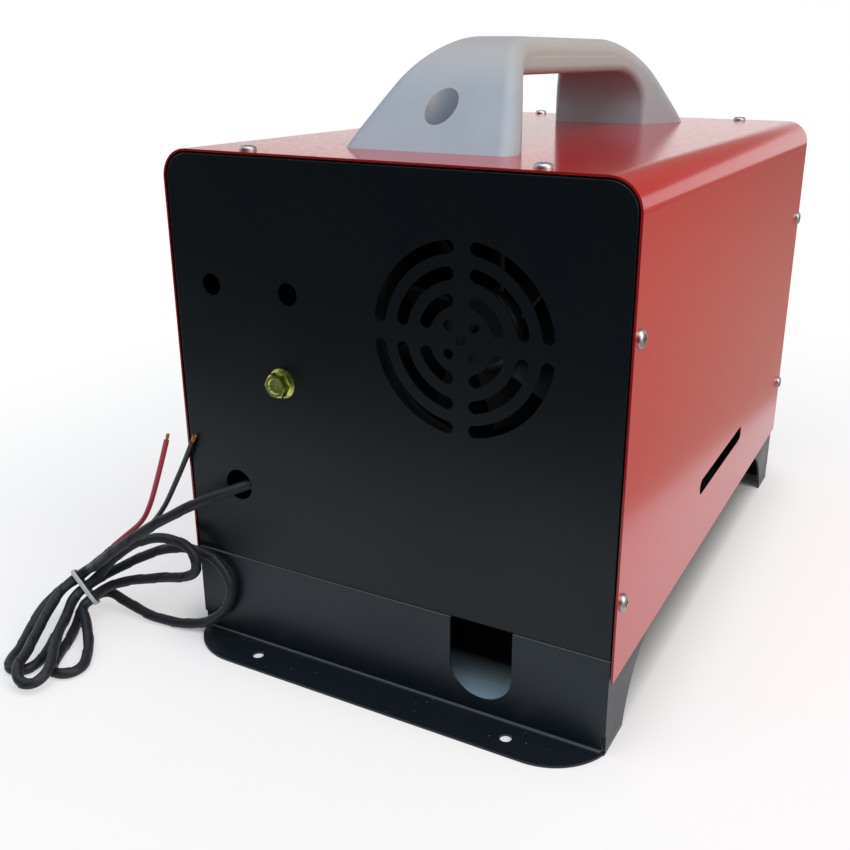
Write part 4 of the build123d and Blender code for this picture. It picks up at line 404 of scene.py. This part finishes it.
def drawn_motor_steel(looks):
    # Deep-drawn steel can, zinc plated: even grey, softly bright, with faint marks of drawing.
    return plated_metal("drawn_motor_steel", "#9DA0A3", "#7D8084", 0.32, 1.0)


def ground_bearing_steel(looks):
    # Ground and polished bearing steel: pale, almost a mirror.
    return plated_metal("ground_bearing_steel", "#D0D2D4", "#B4B6B8", 0.14, 0.5)


def sintered_ferrite(looks):
    # Sintered ferrite magnet: charcoal, dry, with a fine granular face.
    return moulding("sintered_ferrite", "#2E2F31", "#3A3B3D", 0.68, 0.6, 0.08)


def drawn_stainless(looks):
    # Drawn stainless tube: warm grey, satin.
    return plated_metal("drawn_stainless", "#B8B5AF", "#9A9791", 0.26, 0.9)


def turned_brass(looks):
    # Brass turned from bar: yellow, with soft tarnish.
    return plated_metal("turned_brass", "#C9A352", "#9C7B38", 0.26, 0.6)


def aluminium_foil_duct(looks):
    # Aluminium foil laminate, wound and crimped: bright and finely creased, about every 5 mm.
    finish = Finish("aluminium_foil_duct", "#C9CBCC", roughness=0.30, metallic=1.0)
    node, place = finish.node, finish.place
    clouds = node("TexNoise", {"Vector": place, "Scale": 1 / 6.0, "Detail": 4.0})
    creases = node("TexVoronoi", {"Vector": place, "Scale": 1 / 5.0}, feature="F2")
    finish.link("Base Color", node("Mix", {FACTOR: clouds, FIRST: finish.colour, SECOND: "#AEB0B2"},
                                   data_type="RGBA"))
    finish.link("Roughness", node("MapRange", {VALUE: clouds, LOW: 0.3, HIGH: 0.7,
                                               TO_LOW: 0.24, TO_HIGH: 0.38}))
    finish.link("Normal", node("Bump", {"Height": creases, "Distance": 0.2 * MM, "Strength": 0.4}))
    return finish.material


def solder_mask(looks):
    # Printed board under green solder mask: copper tracks show through as paler lines, drawn 0.5 mm
    # wide so that they show.
    finish = Finish("solder_mask", "#1B5A33", roughness=0.28)
    node, place = finish.node, finish.place
    tracks = node("TexBrick", {"Vector": place, "Scale": 1 / 9.0, "Mortar Size": 0.06, "Color1": "#1B5A33",
                               "Color2": "#22683C", "Mortar": "#3F8F55"})
    finish.link("Base Color", tracks)
    return finish.material


def smoked_acrylic(looks):
    # Cast acrylic window, smoked: dark and clear, with a hard shine and the faintest smears.
    return moulding("smoked_acrylic", "#11161B", "#151B21", 0.07, 12.0, 0.002, Transmission_Weight=0.35)


def woven_cloth_tape(looks):
    # Cotton harness tape wound with an overlap every 22 mm, over the cable: near black with a blue
    # cast, a weave that is drawn 0.9 mm wide so that it shows, and a dark line at each overlap.
    finish = Finish("woven_cloth_tape", looks.tape, roughness=0.50, Specular_IOR_Level=0.35,
                    Sheen_Weight=0.04, Sheen_Roughness=0.5)
    node, place = finish.node, finish.place
    wound = node("UVMap", uv_map="wound")
    weave = node("TexChecker", {"Vector": wound, "Scale": 1 / 0.9})
    along = node("SeparateXYZ", {0: wound})
    turns = node("Math", {0: along.outputs["X"], 1: along.outputs["Y"]}, operation="ADD")
    lap = node("Math", {0: turns, 1: TAPE_LAP}, operation="MODULO")
    edge = node("MapRange", {VALUE: lap, LOW: 0.4, HIGH: 2.4, TO_LOW: 1.0, TO_HIGH: 0.0})
    fuzz = node("TexNoise", {"Vector": place, "Scale": 1 / 5.0, "Detail": 4.0})
    cloth = node("Mix", {FACTOR: fuzz, FIRST: finish.colour, SECOND: "#0D1218"}, data_type="RGBA")
    finish.link("Base Color", node("Mix", {FACTOR: edge, FIRST: cloth, SECOND: "#040506"}, data_type="RGBA"))
    bump = node("Bump", {"Height": weave.outputs["Fac"], "Distance": 0.08 * MM, "Strength": 0.35})
    soft = node("Bump", {"Height": fuzz, "Distance": 0.6 * MM, "Strength": 0.5, "Normal": bump})
    finish.link("Normal", soft)
    return finish.material


def red_pvc(looks):
    # Extruded red PVC insulation: smooth, with a soft shine.
    return moulding("red_pvc", looks.red_wire, "#8C2430", 0.34, 3.0, 0.02)


def black_pvc(looks):
    # Extruded black PVC insulation: smooth and glossy.
    return moulding("black_pvc", "#101114", "#191B20", 0.22, 3.0, 0.02)


def bare_copper(looks):
    # Fine drawn copper strands, cut and twisted: salmon, bright where the cutter left them.
    return plated_metal("bare_copper", "#E0A06A", "#A8643C", 0.25, 0.5)


def moulded_natural_nylon(looks):
    # Natural nylon tie: milky, pale, with light sinking in.
    return moulding("moulded_natural_nylon", "#B4BDC4", "#A5B0B8", 0.36, 1.2, 0.02, Subsurface_Weight=0.3,
                    Subsurface_Radius=(0.002, 0.002, 0.002), Subsurface_Scale=1.0)


# Which nodes of the frame get each finish.
NODE_FINISHES = {
    red_powder_coat: ("cover_shell",),
    black_powder_coat: ("rear_panel", "front_panel"),
    stand_powder_coat: ("base_stand",),
    moulded_polypropylene: ("carry_handle",),
    zinc_plated_steel: ("cover_screws", "handle_bolts", "handle_nuts", "inner_screws", "burner_bolts"),
    yellow_passivated_zinc: ("pump_bolt",),
    galvanised_sheet: ("heater_bracket", "tank_strap"),
    pressed_fibre: ("mounting_gasket", "burner_gasket"),
    glass_filled_nylon: ("lower_case", "upper_case", "control_unit", "outlet_nozzle", "lead_clamp"),
    die_cast_aluminium: ("heat_exchanger", "fan_housing", "combustion_impeller"),
    heat_tinted_steel: ("burner",),
    nickel_plated_steel: ("glow_plug", "overheat_sensor"),
    drawn_motor_steel: ("motor_body", "fuel_pump"),
    ground_bearing_steel: ("motor_bearings", "blower_shaft"),
    sintered_ferrite: ("rotor_magnet",),
    moulded_fan_nylon: ("hot_air_impeller", "intake_pipe"),
    drawn_stainless: ("exhaust_pipe", "fuel_inlet"),
    aluminium_foil_duct: ("outlet_duct",),
    moulded_abs: ("outlet_collar", "outlet_louvre", "filler_neck", "filler_cap"),
    blow_moulded_polyethylene: ("fuel_tank",),
    moulded_epdm: ("filler_grommet", "cap_seal", "pump_mount"),
    extruded_polyurethane: ("fuel_hoses",),
    turned_brass: ("fuel_pickup",),
    polished_abs: ("controller_housing",),
    solder_mask: ("controller_board",),
    smoked_acrylic: ("display_lens",),
    moulded_silicone: ("button_power", "button_down", "button_up", "button_menu"),
    woven_cloth_tape: ("inner_loom",),
}


# ---- mesh tools -------------------------------------
def show(name, data, *materials):
    """Puts data in the scene as an object with its materials."""
    piece = bpy.data.objects.new(name, data)
    bpy.context.scene.collection.objects.link(piece)
    for material in materials:
        data.materials.append(material)
    return piece


def nurbs_route(name, points, radius=0.0):
    """Smooth NURBS line with the route's points, in millimetres, as its control points."""
    curve = bpy.data.curves.new(name, "CURVE")
    curve.dimensions = "3D"
    curve.resolution_u = 16
    curve.bevel_depth = radius
    curve.bevel_resolution = 5
    curve.use_fill_caps = True
    spline = curve.splines.new("NURBS")
    spline.points.add(len(points) - 1)
    for point, place in zip(spline.points, points):
        point.co = (*(value * MM for value in place), 1.0)
    spline.order_u = 3
    spline.use_endpoint_u = True
    return curve


def centreline(points):
    """Points that Blender makes along the NURBS line of a route."""
    route = bpy.data.objects.new("route", nurbs_route("route", points))
    line = bpy.data.meshes.new_from_object(route)
    places = [vertex.co.copy() for vertex in line.vertices]
    bpy.data.objects.remove(route)
    bpy.data.meshes.remove(line)
    return places


def length_of(places):
    """Length of a line through places."""
    return sum((after - before).length for before, after in zip(places, places[1:]))


def frames_along(places):
    """Direction and two sideways unit vectors at each place of a line, turned as little as possible."""
    last = len(places) - 1
    side = (places[1] - places[0]).orthogonal().normalized()
    frames = []
    for index in range(last + 1):
        along = (places[min(index + 1, last)] - places[max(index - 1, 0)]).normalized()
        side = (side - along * side.dot(along)).normalized()
        frames.append((along, side, along.cross(side)))
    return frames


def tube_mesh(mesh, places, sides, radius_at):
    """Adds a closed tube to a bmesh. radius_at takes the distance along it and the angle round it.
    Its map, in millimetres, runs along the tube and rises by one lap of the tape round it."""
    wound = mesh.loops.layers.uv.get("wound") or mesh.loops.layers.uv.new("wound")
    angles = [2 * pi * step / sides for step in range(sides)]
    distance, rings, marks = 0.0, [], []
    for index, (place, (_, side, up)) in enumerate(zip(places, frames_along(places))):
        distance += (place - places[index - 1]).length if index else 0.0
        rings.append([
            mesh.verts.new(place + (side * cos(angle) + up * sin(angle)) * radius_at(distance, angle))
            for angle in angles
        ])
        marks.append(distance / MM)
    turn = TAPE_LAP / sides
    for ring in range(len(rings) - 1):
        for step in range(sides):
            after = (step + 1) % sides
            corners = [rings[ring][step], rings[ring][after], rings[ring + 1][after], rings[ring + 1][step]]
            face = mesh.faces.new(corners)
            face.smooth = True
            spots = [(marks[ring], turn * step), (marks[ring], turn * (step + 1)),
                     (marks[ring + 1], turn * (step + 1)), (marks[ring + 1], turn * step)]
            for loop, spot in zip(face.loops, spots):
                loop[wound].uv = spot
    mesh.faces.new(rings[0][::-1])
    mesh.faces.new(rings[-1])


def finished_mesh(name, mesh):
    """Turns a bmesh into mesh data whose faces all look outwards."""
    data = bpy.data.meshes.new(name)
    bmesh.ops.recalc_face_normals(mesh, faces=mesh.faces)
    mesh.to_mesh(data)
    mesh.free()
    return data


def wire_points(side, points):
    """Route of one wire, which starts 0.1 mm out of the tape and first runs 13 mm straight."""
    end, before = Vector(CABLE_POINTS[-1]), Vector(CABLE_POINTS[-2])
    along = (end - before).normalized()
    start = end + Vector(WIRE_OFFSET) * side + along * 0.1
    return [start, start + along * 13] + [Vector(point) for point in points]


# ---- settings ---------------------------------------
class HeaterCaseLooks(bpy.types.PropertyGroup):
    """Colours of the case, its handle and its cable."""
    cover: FloatVectorProperty(name="Cover", description="Powder coat of the folded cover",
                               subtype="COLOR", min=0, max=1, default=linear("#AA191B"))
    panel: FloatVectorProperty(name="Panels", description="Powder coat of the end panels",
                               subtype="COLOR", min=0, max=1, default=linear("#0B1116"))
    stand: FloatVectorProperty(name="Stand", description="Powder coat of the stand",
                               subtype="COLOR", min=0, max=1, default=linear("#121A21"))
    handle: FloatVectorProperty(name="Handle", description="Plastic of the carry handle",
                                subtype="COLOR", min=0, max=1, default=linear("#9CA5AB"))
    tape: FloatVectorProperty(name="Cable tape", description="Cloth tape round the power cable",
                              subtype="COLOR", min=0, max=1, default=linear("#141B24"))
    red_wire: FloatVectorProperty(name="Red wire", description="Insulation of the positive wire",
                                  subtype="COLOR", min=0, max=1, default=linear("#B03040"))


class HeaterCableSizes(bpy.types.PropertyGroup):
    """Sizes of the power cable."""
    cable: FloatProperty(name="Cable", description="Diameter of the taped cable", subtype="DISTANCE",
                         unit="LENGTH", min=0.003, max=0.02, default=0.0068)
    wire: FloatProperty(name="Wire", description="Diameter of one insulated wire", subtype="DISTANCE",
                        unit="LENGTH", min=0.001, max=0.006, default=0.0034)
    strand: FloatProperty(name="Strand", description="Diameter of one copper strand", subtype="DISTANCE",
                          unit="LENGTH", min=0.0002, max=0.002, default=0.0007)
    lap: FloatProperty(name="Tape step", description="Height of the step where the tape overlaps",
                       subtype="DISTANCE", unit="LENGTH", min=0.0, max=0.001, default=0.00045)
    tie: FloatProperty(name="Tie", description="Width of the nylon tie", subtype="DISTANCE",
                       unit="LENGTH", min=0.001, max=0.01, default=0.0027)


class HeaterStageLooks(bpy.types.PropertyGroup):
    """Floor, cards and lamps."""
    floor: FloatVectorProperty(name="Floor", description="Colour of the floor", subtype="COLOR",
                               min=0, max=1, default=linear("#EFEFEE"))
    card: FloatVectorProperty(name="Cards", description="Colour of the cards on the right and behind",
                              subtype="COLOR", min=0, max=1, default=linear("#B9AB9D"))
    dark_card: FloatVectorProperty(name="Dark cards", description="Colour of the cards in front",
                                   subtype="COLOR", min=0, max=1, default=linear("#2E3236"))
    overhead: FloatProperty(name="Overhead lamp", description="Power of the soft lamp above",
                            subtype="POWER", unit="POWER", min=0, max=500, default=26.0)
    side: FloatProperty(name="Side lamp", description="Power of the soft lamp on the right",
                        subtype="POWER", unit="POWER", min=0, max=500, default=22.0)
    ambient: FloatProperty(name="Surroundings", description="Light from all round", subtype="FACTOR",
                           min=0, max=2, default=0.55)


# ---- pieces -----------------------------------------
class HEATER_OT_camera(bpy.types.Operator):
    """Places the camera of the photograph"""
    bl_idname = "heater.camera"
    bl_label = "Camera"

    def execute(self, context):
        data = bpy.data.cameras.new("camera")
        data.sensor_width = 36.0
        data.lens = FOCAL_LENGTH / PHOTO_WIDTH * data.sensor_width
        data.shift_x = 0.5 - PRINCIPAL_POINT[0] / PHOTO_WIDTH
        data.shift_y = PRINCIPAL_POINT[1] / PHOTO_WIDTH - 0.5
        data.clip_start, data.clip_end = 0.01, 100.0
        camera = show("camera", data)
        yaw = Matrix.Rotation(radians(CAMERA_YAW), 4, "Z")
        pitch = Matrix.Rotation(radians(90 + CAMERA_PITCH), 4, "X")
        roll = Matrix.Rotation(radians(CAMERA_ROLL), 4, "Z")
        camera.matrix_world = Matrix.Translation(CAMERA_PLACE) @ (yaw @ pitch @ roll)
        context.scene.camera = camera
        return {"FINISHED"}


class HEATER_OT_cable_tie(bpy.types.Operator):
    """Straps the hank with a nylon tie"""
    bl_idname = "heater.cable_tie"
    bl_label = "Cable tie"

    half_tall, half_deep, corner = 0.0134, 0.0093, 0.0046  # of the strap's loop
    sheet, rim = 0.0010, 0.0002  # thickness of the strap, and its round edge
    head_size, head_rise = (0.0050, 0.0036, 0.0046), 0.0013
    tail_size, tail_rise, tail_drop = (0.0042, 0.0011), 0.0020, 0.0040
    steps = 8  # in each corner of the loop

    def loop(self):
        """Places round the strap, each with the way it faces, in the directions tall and deep."""
        for quarter, (x, y) in enumerate(((1, 1), (-1, 1), (-1, -1), (1, -1))):
            for step in range(self.steps + 1):
                angle = pi / 2 * (quarter + step / self.steps)
                yield (x * (self.half_tall - self.corner) + self.corner * cos(angle),
                       y * (self.half_deep - self.corner) + self.corner * sin(angle), cos(angle), sin(angle))

    def execute(self, context):
        looks, sizes = context.scene.heater_case, context.scene.heater_cable
        tall, axis = Vector(TIE_TALL).normalized(), Vector(TIE_AXIS).normalized()
        deep = axis.cross(tall)
        centre = Vector(TIE_CENTRE) * MM
        half_width, sheet, rim = sizes.tie / 2, self.sheet, self.rim
        section = [(-half_width + rim, 0), (half_width - rim, 0), (half_width, rim),
                   (half_width, sheet - rim), (half_width - rim, sheet), (-half_width + rim, sheet),
                   (-half_width, sheet - rim), (-half_width, rim)]
        mesh = bmesh.new()
        rings = []
        for along_tall, along_deep, out_tall, out_deep in self.loop():
            base = centre + tall * along_tall + deep * along_deep
            outward = tall * out_tall + deep * out_deep
            rings.append([mesh.verts.new(base + axis * across + outward * (lift - sheet / 2))
                          for across, lift in section])
        for index, ring in enumerate(rings):
            after = rings[(index + 1) % len(rings)]
            for step in range(len(section)):
                beside = (step + 1) % len(section)
                mesh.faces.new([ring[step], ring[beside], after[beside], after[step]])
        basis = Matrix((tall, deep, axis)).transposed().to_4x4()
        head = Matrix.Translation(centre - deep * (self.half_deep + self.head_rise)) @ basis
        bmesh.ops.create_cube(mesh, size=1.0, matrix=head @ Matrix.Diagonal((*self.head_size, 1)))
        behind = deep * (self.half_deep + self.tail_rise)
        tail = Matrix.Translation(centre - behind - tall * self.tail_drop) @ basis
        bmesh.ops.create_cube(mesh, size=1.0, matrix=tail @ Matrix.Diagonal((*self.tail_size, sizes.tie, 1)))
        data = finished_mesh("bundle_tie", mesh)
        tie = show("bundle_tie", data, moulded_natural_nylon(looks))
        rounding = tie.modifiers.new("rounding", "BEVEL")
        rounding.width, rounding.segments, rounding.angle_limit = 0.0003, 2, radians(50)
        for face in data.polygons:
            face.use_smooth = True
        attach(tie, "heater")
        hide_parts("cable_tie")
        return {"FINISHED"}


class HEATER_OT_power_cable(bpy.types.Operator):
    """Lays the taped power cable in its tied hank"""
    bl_idname = "heater.power_cable"
    bl_label = "Power cable"

    end_taper = 0.004  # length over which the tape draws in at the cut end
    unevenness = 0.00008  # swelling of the tape between its laps
    sides = 22

    def execute(self, context):
        looks, sizes = context.scene.heater_case, context.scene.heater_cable
        places = centreline(CABLE_POINTS)
        length = length_of(places)

        def radius_at(distance, angle):
            # Each turn of the tape stands up at its edge and sinks to the next, and the cut end
            # draws in to 0.80 of the radius.
            lap = (distance / MM + TAPE_LAP * angle / (2 * pi)) % TAPE_LAP / TAPE_LAP
            step = sizes.lap * min(1.0, (1.0 - lap) * 1.1)
            left = min(1.0, (length - distance) / self.end_taper)
            swell = self.unevenness * sin(distance * 310) * sin(distance * 97 + 2 * angle)
            return (sizes.cable / 2 - 0.7 * sizes.lap + step + swell - 0.0001) * (0.80 + 0.20 * left ** 0.5)

        mesh = bmesh.new()
        tube_mesh(mesh, places, self.sides, radius_at)
        cable = show("power_cable", finished_mesh("power_cable", mesh), woven_cloth_tape(looks))
        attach(cable, "heater")
        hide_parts("power_lead", "power_lead_hank")
        return {"FINISHED"}


class HEATER_OT_bare_wires(bpy.types.Operator):
    """Runs the two wires and their copper strands out of the tape"""
    bl_idname = "heater.bare_wires"
    bl_label = "Bare wires"

    outer_strands = 6  # round one in the middle
    strand_ring = 0.00074  # from the middle strand to the others
    inside = 0.0010  # length of a strand that the insulation holds
    twist = 1.4  # radians over the bare length
    steps, sides = 8, 8

    def strand(self, number, end, along, bare, flare):
        """Places along one strand, which turns and spreads as it leaves the insulation."""
        across = along.orthogonal().normalized()
        other = along.cross(across)
        places = []
        for step in range(self.steps + 1):
            gone = step / self.steps
            angle = 2 * pi * number / self.outer_strands + self.twist * gone
            reach = self.strand_ring * (1.0 + flare * gone * gone) if number < self.outer_strands else 0.0
            places.append(end + along * (bare * gone - self.inside)
                          + (across * cos(angle) + other * sin(angle)) * reach)
        return places

    def execute(self, context):
        looks, sizes = context.scene.heater_case, context.scene.heater_cable
        copper = bmesh.new()
        wires = (("red_wire", 1, RED_POINTS, red_pvc(looks), "wire_red", 0.0060, 0.10),
                 ("black_wire", -1, BLACK_POINTS, black_pvc(looks), "wire_black", 0.0064, 0.34))
        for name, side, points, material, node, bare, flare in wires:
            route = wire_points(side, points)
            wire = show(name, nurbs_route(name, route, sizes.wire / 2), material)
            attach(wire, "heater")
            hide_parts(node)
            places = centreline(route)
            along = (places[-1] - places[-2]).normalized()
            for number in range(self.outer_strands + 1):
                strand = self.strand(number, places[-1], along, bare, flare)
                tube_mesh(copper, strand, self.sides, lambda distance, angle: sizes.strand / 2)
        strands = show("copper_strands", finished_mesh("copper_strands", copper), bare_copper(looks))
        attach(strands, "heater")
        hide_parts("wire_ends")
        return {"FINISHED"}


class HEATER_OT_finishes(bpy.types.Operator):
    """Gives every node of the frame its finish"""
    bl_idname = "heater.finishes"
    bl_label = "Finishes"

    def execute(self, context):
        for finish, nodes in NODE_FINISHES.items():
            material = finish(context.scene.heater_case)
            for name in nodes:
                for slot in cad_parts[name].material_slots:
                    slot.material = material
        return {"FINISHED"}


class HEATER_OT_stage(bpy.types.Operator):
    """Sets the pale floor, the white surroundings, the cards that show in gloss and the soft lamps"""
    bl_idname = "heater.stage"
    bl_label = "Stage"

    def seen_directly(self, tree):
        """1 for rays that show the surroundings in the picture, in gloss or through glass."""
        node = partial(add_node, tree)
        rays = node("LightPath").outputs
        first = node("Math", {0: rays["Is Camera Ray"], 1: rays["Is Glossy Ray"]}, operation="MAXIMUM")
        return node("Math", {0: first, 1: rays["Is Transmission Ray"]}, operation="MAXIMUM")

    def floor(self, stage):
        """Lays a floor that keeps the object's shadow near it and goes over to white further away. Right
        under the case it carries painted shade, and under the stand's flanges a painted cool light."""
        material = bpy.data.materials.new("pale_floor")
        node = partial(add_node, cleared_tree(material))
        glow = node("Emission", {"Color": (1, 1, 1, 1), "Strength": 1.0})
        # Distance from the ground that the object covers, 0.26 m wide and 0.42 m long.
        spot = node("TexCoord").outputs["Object"]
        sides = node("VectorMath", {0: spot}, operation="ABSOLUTE")
        beyond = node("VectorMath", {0: sides, 1: (0.13, 0.21, 0)}, operation="SUBTRACT")
        outside = node("VectorMath", {0: beyond, 1: (0, 0, 0)}, operation="MAXIMUM")
        reach = node("VectorMath", {0: outside}, operation="LENGTH")
        # The painted shade fades out under the case's edges, and the painted cool light at the flanges'
        # ends.
        apart = node("SeparateXYZ", {0: sides})
        across = node("MapRange", {VALUE: apart.outputs["X"], LOW: 0.10, HIGH: 0.14})
        along = node("MapRange", {VALUE: apart.outputs["Y"], LOW: 0.160, HIGH: 0.185})
        open_floor = node("Math", {0: across, 1: along}, operation="MAXIMUM")
        clear = node("MapRange", {VALUE: reach, LOW: 0.0, HIGH: 0.01})
        beside = node("Math", {0: across, 1: clear}, operation="MAXIMUM")
        # Painted cool light under the flanges' ends, then painted shade under the case.
        tone = node("Mix", {FACTOR: beside, FIRST: "#BCD9E6", SECOND: (*stage.floor, 1.0)}, data_type="RGBA")
        shade = node("Mix", {FACTOR: open_floor, FIRST: "#16191C", SECOND: tone}, data_type="RGBA")
        paint = node("BsdfDiffuse", {"Color": shade, "Roughness": 0.4})
        # The glow takes over in two stages, by 0.05 m and by 0.6 m away.
        near = node("MapRange", {VALUE: reach, LOW: 0.0, HIGH: 0.05, TO_LOW: 0.0, TO_HIGH: 0.5},
                    interpolation_type="SMOOTHSTEP")
        far = node("MapRange", {VALUE: reach, LOW: 0.05, HIGH: 0.6, TO_LOW: 0.0, TO_HIGH: 0.5},
                   interpolation_type="SMOOTHSTEP")
        fade = node("Math", {0: near, 1: far}, operation="ADD")
        share = node("Math", {0: fade, 1: self.seen_directly(material.node_tree)}, operation="MULTIPLY")
        surface = node("MixShader", {0: share, 1: paint, 2: glow})
        node("OutputMaterial", {"Surface": surface})
        mesh = bmesh.new()
        just_below = Matrix.Translation((0, 0, -0.0002))
        bmesh.ops.create_circle(mesh, cap_ends=True, segments=96, radius=12.0, matrix=just_below)
        show("floor", finished_mesh("floor", mesh), material)

    def card(self, name, corners, colour):
        """Sets up a card that only shows in gloss, as the darker room round a pale table does."""
        material = bpy.data.materials.new(name)
        node = partial(add_node, cleared_tree(material))
        paint = node("BsdfDiffuse", {"Color": (*colour, 1.0), "Roughness": 0.4})
        node("OutputMaterial", {"Surface": paint})
        mesh = bmesh.new()
        mesh.faces.new([mesh.verts.new(corner) for corner in corners])
        card = show(name, finished_mesh(name, mesh), material)
        card.visible_camera = card.visible_diffuse = False
        card.visible_shadow = card.visible_transmission = False

    def surroundings(self, context, stage):
        """Lights the object softly from all round, and shows as white."""
        world = bpy.data.worlds.new("surroundings")
        context.scene.world = world
        node = partial(add_node, cleared_tree(world))
        lit = node("Background", {"Color": "#F4F7FB", "Strength": stage.ambient})
        white = node("Background", {"Color": (1, 1, 1, 1), "Strength": 1.0})
        mixed = node("MixShader", {0: self.seen_directly(world.node_tree), 1: lit, 2: white})
        node("OutputWorld", {"Surface": mixed})

    def lamp(self, name, place, size, power, colour):
        """Hangs a square soft lamp that looks at the object."""
        data = bpy.data.lights.new(name, "AREA")
        data.shape, data.size, data.energy, data.color = "SQUARE", size, power, linear(colour)
        lamp = show(name, data)
        aim = (Vector(LAMP_AIM) - Vector(place)).to_track_quat("-Z", "Y").to_matrix().to_4x4()
        lamp.matrix_world = Matrix.Translation(place) @ aim
        lamp.visible_camera = False

    def execute(self, context):
        stage = context.scene.heater_stage
        self.floor(stage)
        for name, corners in PALE_CARDS.items():
            self.card(name, corners, stage.card)
        for name, corners in DARK_CARDS.items():
            self.card(name, corners, stage.dark_card)
        self.surroundings(context, stage)
        self.lamp("overhead_lamp", (0.5, -0.6, 2.0), 1.6, stage.overhead, "#E2EDFF")
        self.lamp("side_lamp", (1.9, -0.3, 1.1), 1.3, stage.side, "#FFDDB8")
        context.scene.view_settings.view_transform = "Standard"
        return {"FINISHED"}


class HEATER_PT_looks(bpy.types.Panel):
    """Lists the pieces of the heater's looks"""
    bl_idname = "HEATER_PT_looks"
    bl_label = "Heater"
    bl_space_type = "VIEW_3D"
    bl_region_type = "UI"
    bl_category = "Heater"

    def draw(self, context):
        for group in (context.scene.heater_case, context.scene.heater_cable, context.scene.heater_stage):
            box = self.layout.box()
            for name in type(group).__annotations__:
                box.prop(group, name)
        for operator in OPERATORS:
            self.layout.operator(operator.bl_idname)


SETTINGS = (HeaterCaseLooks, HeaterCableSizes, HeaterStageLooks)
OPERATORS = (HEATER_OT_camera, HEATER_OT_cable_tie, HEATER_OT_power_cable, HEATER_OT_bare_wires,
             HEATER_OT_finishes, HEATER_OT_stage)
CLASSES = (*SETTINGS, *OPERATORS, HEATER_PT_looks)


def register():
    for piece in CLASSES:
        bpy.utils.register_class(piece)
    bpy.types.Scene.heater_case = PointerProperty(type=HeaterCaseLooks)
    bpy.types.Scene.heater_cable = PointerProperty(type=HeaterCableSizes)
    bpy.types.Scene.heater_stage = PointerProperty(type=HeaterStageLooks)


def unregister():
    del bpy.types.Scene.heater_stage
    del bpy.types.Scene.heater_cable
    del bpy.types.Scene.heater_case
    for piece in reversed(CLASSES):
        bpy.utils.unregister_class(piece)


def main():
    register()
    bpy.ops.heater.camera()
    bpy.ops.heater.cable_tie()
    bpy.ops.heater.power_cable()
    bpy.ops.heater.bare_wires()
    bpy.ops.heater.finishes()
    bpy.ops.heater.stage()


if __name__ == "__main__":
    main()
